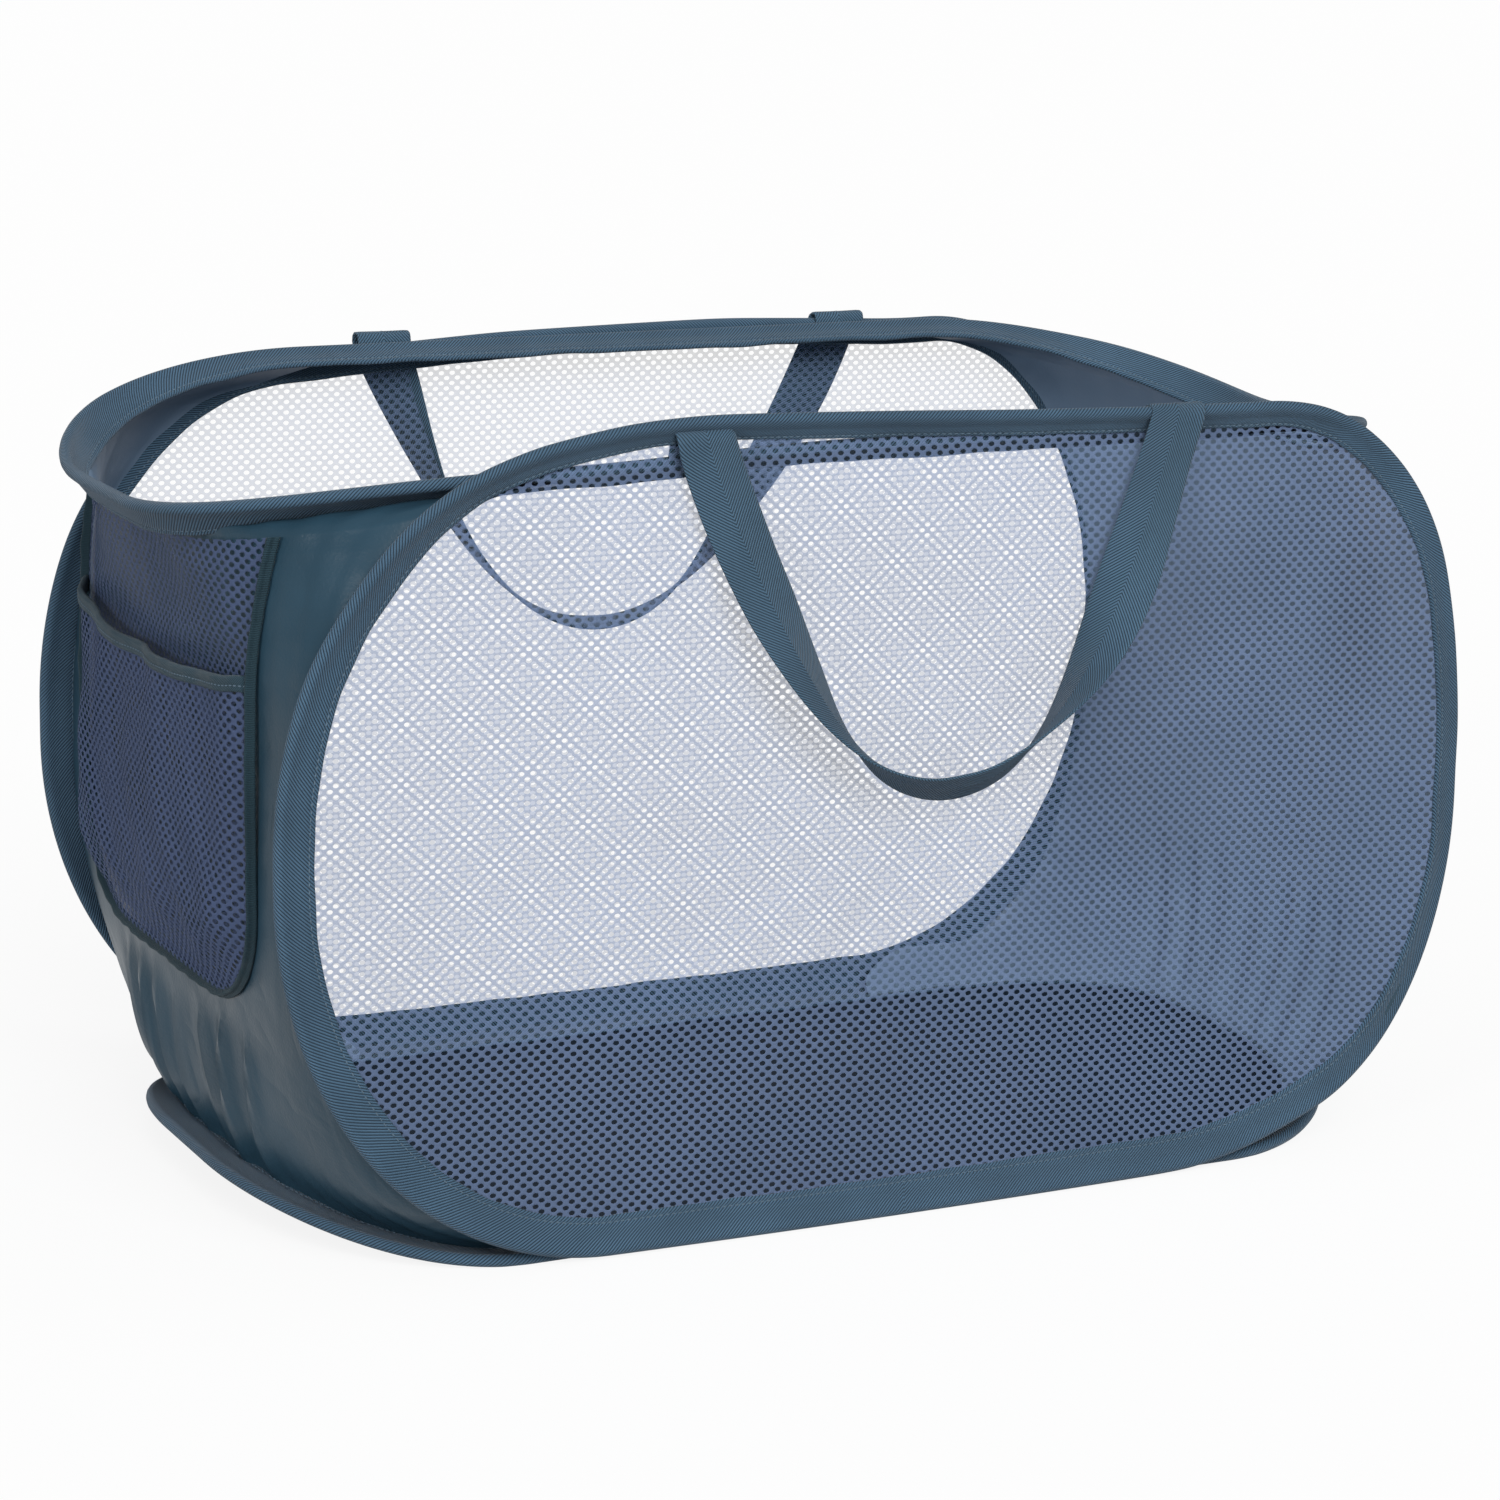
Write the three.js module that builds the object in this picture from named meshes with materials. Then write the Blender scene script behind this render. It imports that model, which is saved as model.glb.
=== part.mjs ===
// Pop up laundry hamper: four closed spring wire hoops in folded tape, two net sides, two cloth ends,
// a cloth floor, a net pocket on one end and two webbing handles. Millimetres, +Z up.
// The long sides face -Y (front) and +Y (back), the pocket hangs on the -X end, and z = 0 is the floor.
import * as THREE from "three";

// Hoops, measured at the middle of the wire.
const sideHalfLength = 305;
const sideHeight = 368;
const sideTopCornerX = 125;
const sideBottomCornerX = 158;
const sideTopCornerZ = 171;
const sideBottomCornerZ = 178;
const sideTopBow = 2;
const sideBottomBow = 1;
const ringHalfWidth = 158;
const topHalfLength = 330;
const topCornerX = 157;
const topCornerY = 125;
const topDroop = 23;
const baseHalfLength = 290;
const baseCornerX = 106;
const baseCornerY = 130;
const baseRise = 13;
const ringSpacing = 355;
const sideLift = 0.5;

// Wire, its crimped joint and the folded tape that binds it.
const wireRadius = 1;
const crimpBore = 1.3;
const crimpRadius = 1.7;
const crimpLength = 15;
const tapeBore = 2.05;
const tapeThickness = 0.85;
const tapeWidth = 19;

// Cloth, net and webbing.
const clothThickness = 0.8;
const clothTuck = 5;
const netHem = 3;
const netThickness = 0.8;
const netGapWidth = 36;
const netGapHeight = 27;
const netStrand = 13;
const strapWidth = 28;
const strapThickness = 1.2;
const handleSpan = 252;
const handleShift = 18;
const handleDrop = 186;
const handleLean = 16;
const handleTail = 16;
const handleWrap = 6;

// End walls, with the folds that gather low down.
const wallInset = 15;
const endBulge = 6;
const foldDepth = 2.5;

// Pocket.
const pocketHalfWidth = 122;
const pocketTopHalfWidth = 112;
const pocketBottom = 104;
const pocketTop = 341;
const pocketMouth = 274;
const mouthSag = 8;
const pocketCorner = 34;
const pocketDepth = 12;
const pocketStandOff = 1.1;
const pipingWidth = 7;
const pipingThickness = 3;
const mouthTapeHeight = 9;
const mouthTapeThickness = 2;

// Clearances.
const gap = 0.3;
const hemGap = 0.9;
const seamGap = 0.35;
const pivotGap = 0.35;

// Counts.
const cornerSteps = 6;
const tubeSides = 6;
const bowPoints = 3;
const wallRows = 10;
const foldCount = 7;
const pocketColumns = 14;
const pocketCornerRows = 3;
const handleSteps = 9;

// Shapes as shares of the sizes that they follow.
const fullTurn = Math.PI * 2;
const quarter = Math.PI / 2;
const tapeTaperShare = 0.24;
const foldTopShare = 0.34;
const rowSpaceShare = 0.15;
const handleTwistShare = 0.8;
const handleCornerShare = 0.72;

const tapeRadius = tapeBore + tapeThickness;
const tubeFlat = tapeRadius * Math.sin(fullTurn / tubeSides);
const flapInner = clothThickness / 2 + gap;
const flapOuter = flapInner + tapeThickness;
const baseZ = tubeFlat;
const topZ = baseZ + ringSpacing;
const sideBottomZ = baseZ + sideLift;
const sideTopZ = sideBottomZ + sideHeight;
const sideOffset = tubeFlat + seamGap + strapThickness + seamGap + tapeRadius;
const sideY = ringHalfWidth + sideOffset;

const finishes = {
  tape: new THREE.MeshStandardMaterial({ color: 0x3b5266, roughness: 0.85, metalness: 0 }),
  cloth: new THREE.MeshStandardMaterial({ color: 0x33505f, roughness: 0.45, metalness: 0 }),
  net: new THREE.MeshStandardMaterial({ color: 0x575f82, roughness: 0.8, metalness: 0 }),
  piping: new THREE.MeshStandardMaterial({ color: 0x4a5f69, roughness: 0.7, metalness: 0 }),
  webbing: new THREE.MeshStandardMaterial({ color: 0x3a5166, roughness: 0.9, metalness: 0 }),
  steel: new THREE.MeshStandardMaterial({ color: 0xa9adb0, roughness: 0.3, metalness: 1 }),
};

const hamper = new THREE.Group();

function addPiece(name, geometry, finish) {
  const mesh = new THREE.Mesh(geometry, finishes[finish]);
  mesh.name = name;
  hamper.add(mesh);
}

// A closed geometry from corner points and triangles, turned so that its faces point out.
function closedGeometry(points, triangles) {
  let volume = 0;
  const side = new THREE.Vector3();
  for (const [a, b, c] of triangles) {
    volume += side.crossVectors(points[b], points[c]).dot(points[a]);
  }
  const faces = volume < 0 ? triangles.map(([a, b, c]) => [a, c, b]) : triangles;
  const geometry = new THREE.BufferGeometry();
  geometry.setAttribute(
    "position",
    new THREE.Float32BufferAttribute(points.flatMap((p) => [p.x, p.y, p.z]), 3),
  );
  geometry.setIndex(faces.flat());
  return geometry;
}

// Skins a row of sections. Each section is a closed ring of points, and the row closes or has flat ends.
function skin(sections, closed) {
  const points = sections.flat();
  const count = sections[0].length;
  const triangles = [];
  const last = closed ? sections.length : sections.length - 1;
  for (let i = 0; i < last; i++) {
    const next = ((i + 1) % sections.length) * count;
    for (let j = 0; j < count; j++) {
      const k = (j + 1) % count;
      const a = i * count + j;
      const b = i * count + k;
      triangles.push([a, next + j, next + k], [a, next + k, b]);
    }
  }
  if (!closed) {
    const end = (sections.length - 1) * count;
    for (let j = 1; j < count - 1; j++) {
      triangles.push([0, j, j + 1], [end, end + j + 1, end + j]);
    }
  }
  return closedGeometry(points, triangles);
}

// One hoop's flat loop: points with inward normals, elliptical corners and bowed long edges between them.
function loopPoints({ halfX, low, high, upper, lower }) {
  const corners = [
    { ...upper, sx: 1, sy: 1 },
    { ...upper, sx: -1, sy: 1 },
    { ...lower, sx: -1, sy: -1 },
    { ...lower, sx: 1, sy: -1 },
  ];
  return corners.flatMap(({ rx, ry, bow, sx, sy }) => {
    const edge = sy > 0 ? high - bow : low + bow;
    const centre = new THREE.Vector2(sx * (halfX - rx), edge - sy * ry);
    const points = [];
    for (let i = 0; i <= cornerSteps; i++) {
      const turn = sx * sy > 0 ? (quarter * i) / cornerSteps : quarter * (1 - i / cornerSteps);
      const c = Math.cos(turn);
      const s = Math.sin(turn);
      points.push({
        place: new THREE.Vector2(centre.x + sx * rx * c, centre.y + sy * ry * s),
        inward: new THREE.Vector2(-sx * c * ry, -sy * s * rx).normalize(),
      });
    }
    if (bow > 0 && sx * sy > 0) {
      for (let i = 1; i <= bowPoints; i++) {
        const share = 1 - (2 * i) / (bowPoints + 1);
        points.push({
          place: new THREE.Vector2(share * centre.x, edge + sy * bow * (1 - share * share)),
          inward: new THREE.Vector2(0, -sy),
        });
      }
    }
    return points;
  });
}

// How far a ring's round end leaves the level of its straight sides, at a distance x from the middle.
function ringBend({ halfX, rx, bend }, x) {
  return bend * Math.max(0, (Math.abs(x) - halfX + rx) / rx) ** 2;
}

// A point of a loop, moved inwards by `inset` and lifted off the loop's plane by `lift`.
const ringPlace = (ring, z) => (point, inset, lift) => {
  const x = point.place.x + point.inward.x * inset;
  return new THREE.Vector3(x, point.place.y + point.inward.y * inset, z + lift + ringBend(ring, x));
};
const sidePlace = (y) => (point, inset, lift) =>
  new THREE.Vector3(
    point.place.x + point.inward.x * inset,
    y + lift,
    point.place.y + point.inward.y * inset,
  );

// The points of a regular polygon about the wire, as [inset, lift] pairs.
function polygon(radius, from, to) {
  const points = [];
  for (let i = from; i <= to; i++) {
    const turn = (fullTurn * i) / tubeSides;
    points.push([radius * Math.cos(turn), radius * Math.sin(turn)]);
  }
  return points;
}

// The folded tape's section: a nose round the wire and two flaps that hold the cloth between them.
function tapeSection() {
  const end = tapeWidth - tapeRadius;
  const taper = tapeWidth * tapeTaperShare;
  const outer = polygon(tapeRadius, 1, tubeSides - 1);
  const inner = polygon(tapeBore, 1, tubeSides - 1).reverse();
  const throat = inner[0][0] + tapeThickness * 2;
  return [
    ...outer,
    [taper, -flapOuter],
    [end, -flapOuter],
    [end, -flapInner],
    [throat, -flapInner],
    ...inner,
    [throat, flapInner],
    [end, flapInner],
    [end, flapOuter],
    [taper, flapOuter],
  ];
}

function sweepLoop(loop, place, section) {
  return skin(
    loop.map((point) => section.map(([inset, lift]) => place(point, inset, lift))),
    true,
  );
}

// The crimped sleeve over the wire's joint, on the straight stretch between two neighbouring loop points.
function crimpSleeve(loop, place, first) {
  const a = loop[first];
  const b = loop[(first + 1) % loop.length];
  const length = a.place.distanceTo(b.place);
  const share = Math.min(crimpLength, length) / length;
  const at = (t) => ({ place: a.place.clone().lerp(b.place, t), inward: a.inward });
  const ends = [at(0.5 - share / 2), at(0.5 + share / 2)];
  const rings = [
    [ends[0], crimpRadius],
    [ends[1], crimpRadius],
    [ends[1], crimpBore],
    [ends[0], crimpBore],
  ];
  return skin(
    rings.map(([end, radius]) =>
      polygon(radius, 0, tubeSides - 1).map(([inset, lift]) => place(end, inset, lift)),
    ),
    true,
  );
}

function buildHoop(name, loop, place, crimpAt) {
  addPiece(`${name}_hoop_wire`, sweepLoop(loop, place, polygon(wireRadius, 0, tubeSides - 1)), "steel");
  addPiece(`${name}_hoop_crimp`, crimpSleeve(loop, place, crimpAt), "steel");
  addPiece(`${name}_binding`, sweepLoop(loop, place, tapeSection()), "tape");
}

const baseRing = { halfX: baseHalfLength, rx: baseCornerX, ry: baseCornerY, bow: 0, bend: baseRise };
const topRing = { halfX: topHalfLength, rx: topCornerX, ry: topCornerY, bow: 0, bend: -topDroop };

function ringLoop(ring) {
  return loopPoints({
    halfX: ring.halfX,
    low: -ringHalfWidth,
    high: ringHalfWidth,
    upper: ring,
    lower: ring,
  });
}

const baseLoop = ringLoop(baseRing);
const topLoop = ringLoop(topRing);
const sideUpper = { rx: sideTopCornerX, ry: sideTopCornerZ, bow: sideTopBow };
const sideLower = { rx: sideBottomCornerX, ry: sideBottomCornerZ, bow: sideBottomBow };
const sideLoop = loopPoints({
  halfX: sideHalfLength,
  low: sideBottomZ,
  high: sideTopZ,
  upper: sideUpper,
  lower: sideLower,
});

buildHoop("base", baseLoop, ringPlace(baseRing, baseZ), baseLoop.length - 1);
buildHoop("top", topLoop, ringPlace(topRing, topZ), topLoop.length - 1);
buildHoop("front", sideLoop, sidePlace(-sideY), sideLoop.length - 1);
buildHoop("back", sideLoop, sidePlace(sideY), sideLoop.length - 1);

// A flat outline inside a loop.
function flatOutline(loop, inset) {
  return loop.map(({ place, inward }) => place.clone().addScaledVector(inward, inset));
}

function insideOutline(outline, x, y) {
  let inside = false;
  outline.forEach((a, i) => {
    const b = outline[(i + 1) % outline.length];
    if (a.y > y !== b.y > y && x < a.x + ((y - a.y) * (b.x - a.x)) / (b.y - a.y)) inside = !inside;
  });
  return inside;
}

// One six-sided gap of the net about a middle point.
function netGap(x, y) {
  const halfX = netGapWidth / 2;
  const halfY = netGapHeight / 2;
  return [
    new THREE.Vector2(x + halfX, y),
    new THREE.Vector2(x + halfX / 2, y + halfY),
    new THREE.Vector2(x - halfX / 2, y + halfY),
    new THREE.Vector2(x - halfX, y),
    new THREE.Vector2(x - halfX / 2, y - halfY),
    new THREE.Vector2(x + halfX / 2, y - halfY),
  ];
}

// A net panel fills its hoop and is tucked between the flaps of the tape.
function netShape(loop) {
  const shape = new THREE.Shape(flatOutline(loop, clothTuck));
  const limit = flatOutline(loop, clothTuck + netHem);
  const pitchX = netGapWidth * 0.75 + netStrand;
  const pitchZ = netGapHeight + netStrand / 2;
  const middleZ = (sideBottomZ + sideTopZ) / 2;
  const columns = Math.ceil(sideHalfLength / pitchX);
  const rows = Math.ceil(sideHeight / 2 / pitchZ);
  for (let i = -columns; i <= columns; i++) {
    for (let j = -rows; j <= rows; j++) {
      const stagger = i % 2 === 0 ? 0 : pitchZ / 2;
      const outline = netGap(i * pitchX, middleZ + j * pitchZ + stagger);
      if (outline.every((p) => insideOutline(limit, p.x, p.y))) {
        shape.holes.push(new THREE.Path(outline));
      }
    }
  }
  return shape;
}

function sidePanel(name, y) {
  const geometry = new THREE.ExtrudeGeometry(netShape(sideLoop), {
    depth: netThickness,
    bevelEnabled: false,
  });
  geometry.rotateX(quarter);
  geometry.translate(0, y + netThickness / 2, 0);
  addPiece(name, geometry, "net");
}

sidePanel("front_mesh", -sideY);
sidePanel("back_mesh", sideY);

// The floor is tucked between the flaps of the base tape and rises with it at both ends. Inside the flaps,
// strips run straight across between the two long sides.
function floorCloth() {
  const count = baseLoop.length;
  const place = ringPlace(baseRing, baseZ);
  const insets = [clothTuck, tapeWidth - tapeRadius];
  const layer = (lift) => insets.flatMap((inset) => baseLoop.map((point) => place(point, inset, lift)));
  const triangles = [];
  const under = 2 * count;
  const twoSided = (a, b, c) => triangles.push([a, b, c], [under + c, under + b, under + a]);
  for (let a = 0; a < count; a++) {
    const b = (a + 1) % count;
    twoSided(a, b, count + b);
    twoSided(a, count + b, count + a);
    triangles.push([b, a, under + a], [b, under + a, under + b]);
  }
  for (let i = 0; i + 1 < count / 2; i++) {
    const [a, b] = [count + i, count + i + 1];
    const [across, behind] = [under - 2 - i, under - 1 - i];
    twoSided(a, b, across);
    twoSided(a, across, behind);
  }
  return closedGeometry([...layer(clothThickness / 2), ...layer(-clothThickness / 2)], triangles);
}

addPiece("floor_cloth", floorCloth(), "cloth");

// The end wall stands on the inner edge of the base tape, hangs from the inner edge of the top tape,
// and its two upright edges lie on the inner faces of the side hoops' tape.
const wallColumns = 2 * cornerSteps + 1;
const wallBottomZ = baseZ + flapOuter + hemGap;
const wallTopZ = topZ - flapOuter - hemGap;
const wallEdgeY = sideY - flapOuter - gap;
const wallMiddleZ = (sideBottomZ + sideTopZ) / 2;
const wallEdgeX = sideHalfLength - wallInset;

// The ring's inner edge at share s, from its front corner (-1) round the end (0) to its back corner (1).
function ringEnd({ halfX, rx, ry }, s) {
  const straight = 1 / wallColumns;
  const reach = Math.abs(s);
  const turn = quarter * Math.max(0, (reach - straight) / (1 - straight));
  const flatY = (ringHalfWidth - ry) * Math.min(1, reach / straight);
  const y = flatY + (ry - wallInset) * Math.sin(turn);
  return new THREE.Vector2(halfX - rx + (rx - wallInset) * Math.cos(turn), s < 0 ? -y : y);
}

// The wall's surface: share s runs round the end, share t from the floor (0) to the top ring (1).
function wallPoint(s, t) {
  const low = t < 0.5;
  const turn = Math.abs(1 - 2 * t) * quarter;
  const hold = Math.min(1, Math.min(t, 1 - t) * wallRows);
  const corner = low ? sideLower : sideUpper;
  const ring = low ? baseRing : topRing;
  const ringPoint = ringEnd(ring, s);
  const ringX = ringEnd(ring, 1).x;
  const curveX = sideHalfLength - corner.rx + (corner.rx - wallInset) * Math.cos(turn);
  const rise = (corner.ry - wallInset) * Math.sin(turn);
  const inward = corner.bow + corner.ry;
  const centreZ = low ? sideBottomZ + inward : sideTopZ - inward;
  const straightZ = (wallMiddleZ - centreZ) * Math.cos(turn);
  const curveZ = centreZ + straightZ + (low ? -rise : rise);
  const edgeX = ringX + (curveX - ringX) * hold;
  const share = (edgeX - ringX) / (wallEdgeX - ringX);
  const middleX = wallEdgeX + endBulge * (1 - s * s);
  const spread = 1 + (wallEdgeY / (ringHalfWidth - wallInset) - 1) * hold;
  const ringZ = low ? wallBottomZ : wallTopZ;
  return new THREE.Vector3(
    -(ringPoint.x + (middleX - ringPoint.x) * share),
    ringPoint.y * spread,
    ringZ + (curveZ - ringZ) * hold + ringBend(ring, ringPoint.x) * (1 - share),
  );
}

function smooth(t) {
  const c = Math.min(Math.max(t, 0), 1);
  return c * c * (3 - 2 * c);
}

// The outward normal of the wall, level along its top and bottom edges and square to the hoops at its sides.
function wallNormal(s, t) {
  const step = 1 / (wallColumns * wallRows);
  const along = wallPoint(Math.min(1, s + step), t).sub(wallPoint(Math.max(-1, s - step), t));
  const up = wallPoint(s, Math.min(1, t + step)).sub(wallPoint(s, Math.max(0, t - step)));
  const normal = along.cross(up);
  if (t <= 0 || t >= 1) normal.z = 0;
  if (Math.abs(s) >= 1) normal.y = 0;
  if (normal.x > 0) normal.negate();
  return normal.normalize();
}

// How far the low folds push the wall in or out.
function foldShift(s, t) {
  const fade = smooth(1 - t / foldTopShare) * smooth((1 - Math.abs(s)) * 2) * smooth(t * wallRows);
  return foldDepth * fade * Math.sin(s * foldCount * quarter * 2);
}

// A thin piece over a grid of shares, between two distances from the wall's surface.
function wallPatch(columns, rows, shares, outer, inner) {
  const places = (lift) => {
    const grid = [];
    for (let j = 0; j <= rows; j++) {
      for (let i = 0; i <= columns; i++) {
        const { s, t } = shares(i / columns, j / rows);
        grid.push(
          wallPoint(s, t).addScaledVector(wallNormal(s, t), lift(i / columns, j / rows, s, t)),
        );
      }
    }
    return grid;
  };
  const front = places(outer);
  const points = [...front, ...places(inner)];
  const back = front.length;
  const width = columns + 1;
  const triangles = [];
  for (let j = 0; j < rows; j++) {
    for (let i = 0; i < columns; i++) {
      const a = j * width + i;
      const [b, c, d] = [a + 1, a + width, a + width + 1];
      triangles.push([a, b, d], [a, d, c]);
      triangles.push([back + a, back + d, back + b], [back + a, back + c, back + d]);
    }
  }
  const rim = [];
  for (let i = 0; i < columns; i++) rim.push(i);
  for (let j = 0; j < rows; j++) rim.push(j * width + columns);
  for (let i = columns; i > 0; i--) rim.push(rows * width + i);
  for (let j = rows; j > 0; j--) rim.push(j * width);
  rim.forEach((a, k) => {
    const b = rim[(k + 1) % rim.length];
    triangles.push([b, a, back + a], [b, back + a, back + b]);
  });
  return closedGeometry(points, triangles);
}

function endWall() {
  const half = clothThickness / 2;
  return wallPatch(
    2 * wallColumns,
    wallRows,
    (a, b) => ({ s: 2 * a - 1, t: b }),
    (a, b, s, t) => foldShift(s, t) + half,
    (a, b, s, t) => foldShift(s, t) - half,
  );
}

addPiece("left_end_cloth", endWall(), "cloth");
const rightWall = endWall();
rightWall.rotateZ(Math.PI);
addPiece("right_end_cloth", rightWall, "cloth");

// The shares of the wall's point at a given height and distance from the middle of the end. Heights are
// those of the wall's upright edges, so that a level line follows the bends of the two rings.
function wallShares(y, z) {
  let [low, high] = [0, 1];
  for (let i = 0; i < 40; i++) {
    const middle = (low + high) / 2;
    if (wallPoint(1, middle).z < z) low = middle;
    else high = middle;
  }
  const t = low;
  [low, high] = [-1, 1];
  for (let i = 0; i < 40; i++) {
    const middle = (low + high) / 2;
    if (wallPoint(middle, t).y < y) low = middle;
    else high = middle;
  }
  return { s: low, t };
}

// The pocket's half-width at height z, drawn in by an inset and rounded at its bottom corners.
function pocketReach(z, inset) {
  const narrow = pocketTopHalfWidth - pocketHalfWidth;
  const rise = smooth((z - pocketMouth) / (pocketTop - pocketMouth));
  const corner = pocketCorner - inset;
  const down = Math.max(0, 1 - (z - pocketBottom - inset) / corner);
  return pocketHalfWidth + narrow * rise - inset - corner * (1 - Math.sqrt(Math.max(0, 1 - down * down)));
}

// Heights of a pocket piece's rows: steps round the bottom corner, then the wall's own rows, then the top.
function rowHeights(inset, top) {
  const corner = pocketCorner - inset;
  const heights = [];
  for (let i = 0; i <= pocketCornerRows; i++) {
    const turn = (quarter * i) / pocketCornerRows;
    heights.push(pocketBottom + inset + corner * (1 - Math.cos(turn)));
  }
  const space = pocketCorner * rowSpaceShare;
  for (let i = 0; i < wallRows; i++) {
    const z = wallPoint(1, i / wallRows).z;
    if (z > heights[heights.length - 1] + space && z < top - space) heights.push(z);
  }
  return [...heights, top];
}

const tuckIn = pipingWidth / 2 + gap;
const backingOuter = pocketStandOff + clothThickness;
const mouthAt = (across) => pocketMouth - mouthSag * across * across;

const backingRows = rowHeights(tuckIn, pocketTop);

addPiece(
  "pocket_backing_mesh",
  wallPatch(
    pocketColumns,
    backingRows.length - 1,
    (a, b) => {
      const z = backingRows[Math.round(b * (backingRows.length - 1))];
      return wallShares((2 * a - 1) * pocketReach(z, tuckIn), z);
    },
    () => backingOuter,
    () => pocketStandOff,
  ),
  "net",
);

// The pocket's front bows away from its backing, most of all low down.
function frontShape(a, b) {
  const across = 2 * a - 1;
  return (1 - across ** 4) * smooth(b * 2.5) * (1 - 0.45 * b * b);
}

const frontInner = (a, b) => backingOuter + gap + (pocketDepth - backingOuter) * frontShape(a, b);

const frontRows = rowHeights(tuckIn, pocketMouth - mouthSag);

addPiece(
  "pocket_front_mesh",
  wallPatch(
    pocketColumns,
    frontRows.length - 1,
    (a, b) => {
      const across = 2 * a - 1;
      const z = b < 1 ? frontRows[Math.round(b * (frontRows.length - 1))] : mouthAt(across) - gap;
      return wallShares(across * pocketReach(z, tuckIn), z);
    },
    (a, b) => frontInner(a, b) + clothThickness,
    (a, b) => frontInner(a, b),
  ),
  "net",
);

addPiece(
  "pocket_mouth_binding",
  wallPatch(
    pocketColumns,
    1,
    (a, b) => {
      const across = 2 * a - 1;
      const z = mouthAt(across) + mouthTapeHeight * b;
      return wallShares(across * pocketReach(z, tuckIn + gap), z);
    },
    (a) => frontInner(a, 1) + mouthTapeThickness,
    (a) => frontInner(a, 1),
  ),
  "piping",
);

// The pocket's outline from the top of one side, round the bottom, to the top of the other side.
function pocketOutline() {
  const heights = rowHeights(0, pocketTop);
  const flat = pocketHalfWidth - pocketCorner;
  const bottom = [];
  for (let i = 1; i < pocketColumns / 2; i++) bottom.push(flat * ((4 * i) / pocketColumns - 1));
  return [
    ...[...heights].reverse().map((z) => new THREE.Vector2(-pocketReach(z, 0), z)),
    ...bottom.map((y) => new THREE.Vector2(y, pocketBottom)),
    ...heights.map((z) => new THREE.Vector2(pocketReach(z, 0), z)),
  ];
}

function edgeBinding() {
  const outline = pocketOutline();
  const sections = outline.map((p, i) => {
    const ahead = outline[Math.min(i + 1, outline.length - 1)];
    const behind = outline[Math.max(i - 1, 0)];
    const way = ahead.clone().sub(behind).normalize();
    const out = new THREE.Vector2(way.y, -way.x);
    const at = (across, lift) => {
      const q = p.clone().addScaledVector(out, across);
      const { s, t } = wallShares(q.x, q.y);
      return wallPoint(s, t).addScaledVector(wallNormal(s, t), lift);
    };
    const half = pipingWidth / 2;
    const top = pocketStandOff + pipingThickness;
    const low = pocketStandOff + clothThickness / 2;
    return [at(-half, pocketStandOff), at(half, low), at(half * 0.6, top), at(-half * 0.6, top)];
  });
  return skin(sections, false);
}

addPiece("pocket_edge_binding", edgeBinding(), "piping");

// Handles: each strap rises out of the seam of a side hoop and the top ring, folds over the hoop and hangs.
const seamY = sideY - tapeRadius * Math.sin(fullTurn / tubeSides) - seamGap - strapThickness / 2;
const foldZ = sideTopZ + tapeRadius + seamGap + strapThickness / 2;
const hangY = sideY + tubeFlat + pivotGap + strapThickness / 2;

function strapSection(place, wide, thick) {
  return [
    [-1, -1],
    [1, -1],
    [1, 1],
    [-1, 1],
  ].map(([u, v]) =>
    place
      .clone()
      .addScaledVector(wide, (u * strapWidth) / 2)
      .addScaledVector(thick, (v * strapThickness) / 2),
  );
}

// One arm's path from the fold to the middle of the bight, with the directions of its width and thickness.
function handleArm() {
  const halfSpan = handleSpan / 2;
  const wide = new THREE.Vector3(1, 0, 0);
  const frames = [
    { place: [halfSpan, seamY, foldZ], thick: [0, 0, 1] },
    { place: [halfSpan, hangY - handleWrap * 0.45, foldZ], thick: [0, 0.3, 1] },
    { place: [halfSpan, hangY, foldZ - handleWrap * 0.45], thick: [0, 1, 0.3] },
    { place: [halfSpan, hangY, foldZ - handleWrap * 2], thick: [0, 1, 0] },
  ].map(({ place, thick }) => ({
    place: new THREE.Vector3(...place),
    wide,
    thick: new THREE.Vector3(...thick).normalize(),
  }));
  const startZ = foldZ - handleWrap * 2;
  const drop = handleDrop - handleWrap * 2;
  for (let i = 1; i <= handleSteps; i++) {
    const share = i / handleSteps;
    const turn = share * quarter;
    const bend = Math.sin(turn) ** (1 / handleCornerShare);
    const x = halfSpan * Math.cos(turn) ** handleCornerShare;
    const z = startZ - drop * bend;
    const twist = handleTwistShare * quarter * smooth(share);
    const y = hangY + handleLean * smooth(share * 1.2);
    frames.push({ place: new THREE.Vector3(i === handleSteps ? 0 : x, y, z), twist });
  }
  return frames;
}

function handleFrames() {
  const arm = handleArm();
  const path = [
    ...arm.map((f) => ({ ...f, place: f.place.clone(), hand: 1 })),
    ...arm
      .slice(0, -1)
      .reverse()
      .map((f) => ({ ...f, place: f.place.clone().setX(-f.place.x), hand: -1 })),
  ];
  return path.map((frame, i) => {
    if (frame.thick) return frame;
    const ahead = path[Math.min(i + 1, path.length - 1)].place;
    const behind = path[Math.max(i - 1, 0)].place;
    const way = ahead.clone().sub(behind).normalize();
    const outward = new THREE.Vector3(0, 1, 0).addScaledVector(way, -way.y).normalize();
    const inPlane = way.clone().cross(outward);
    const c = Math.cos(frame.twist);
    const s = Math.sin(frame.twist);
    return {
      place: frame.place,
      wide: inPlane.clone().multiplyScalar(c).addScaledVector(outward, s),
      thick: outward.clone().multiplyScalar(c).addScaledVector(inPlane, -s),
    };
  });
}

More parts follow.
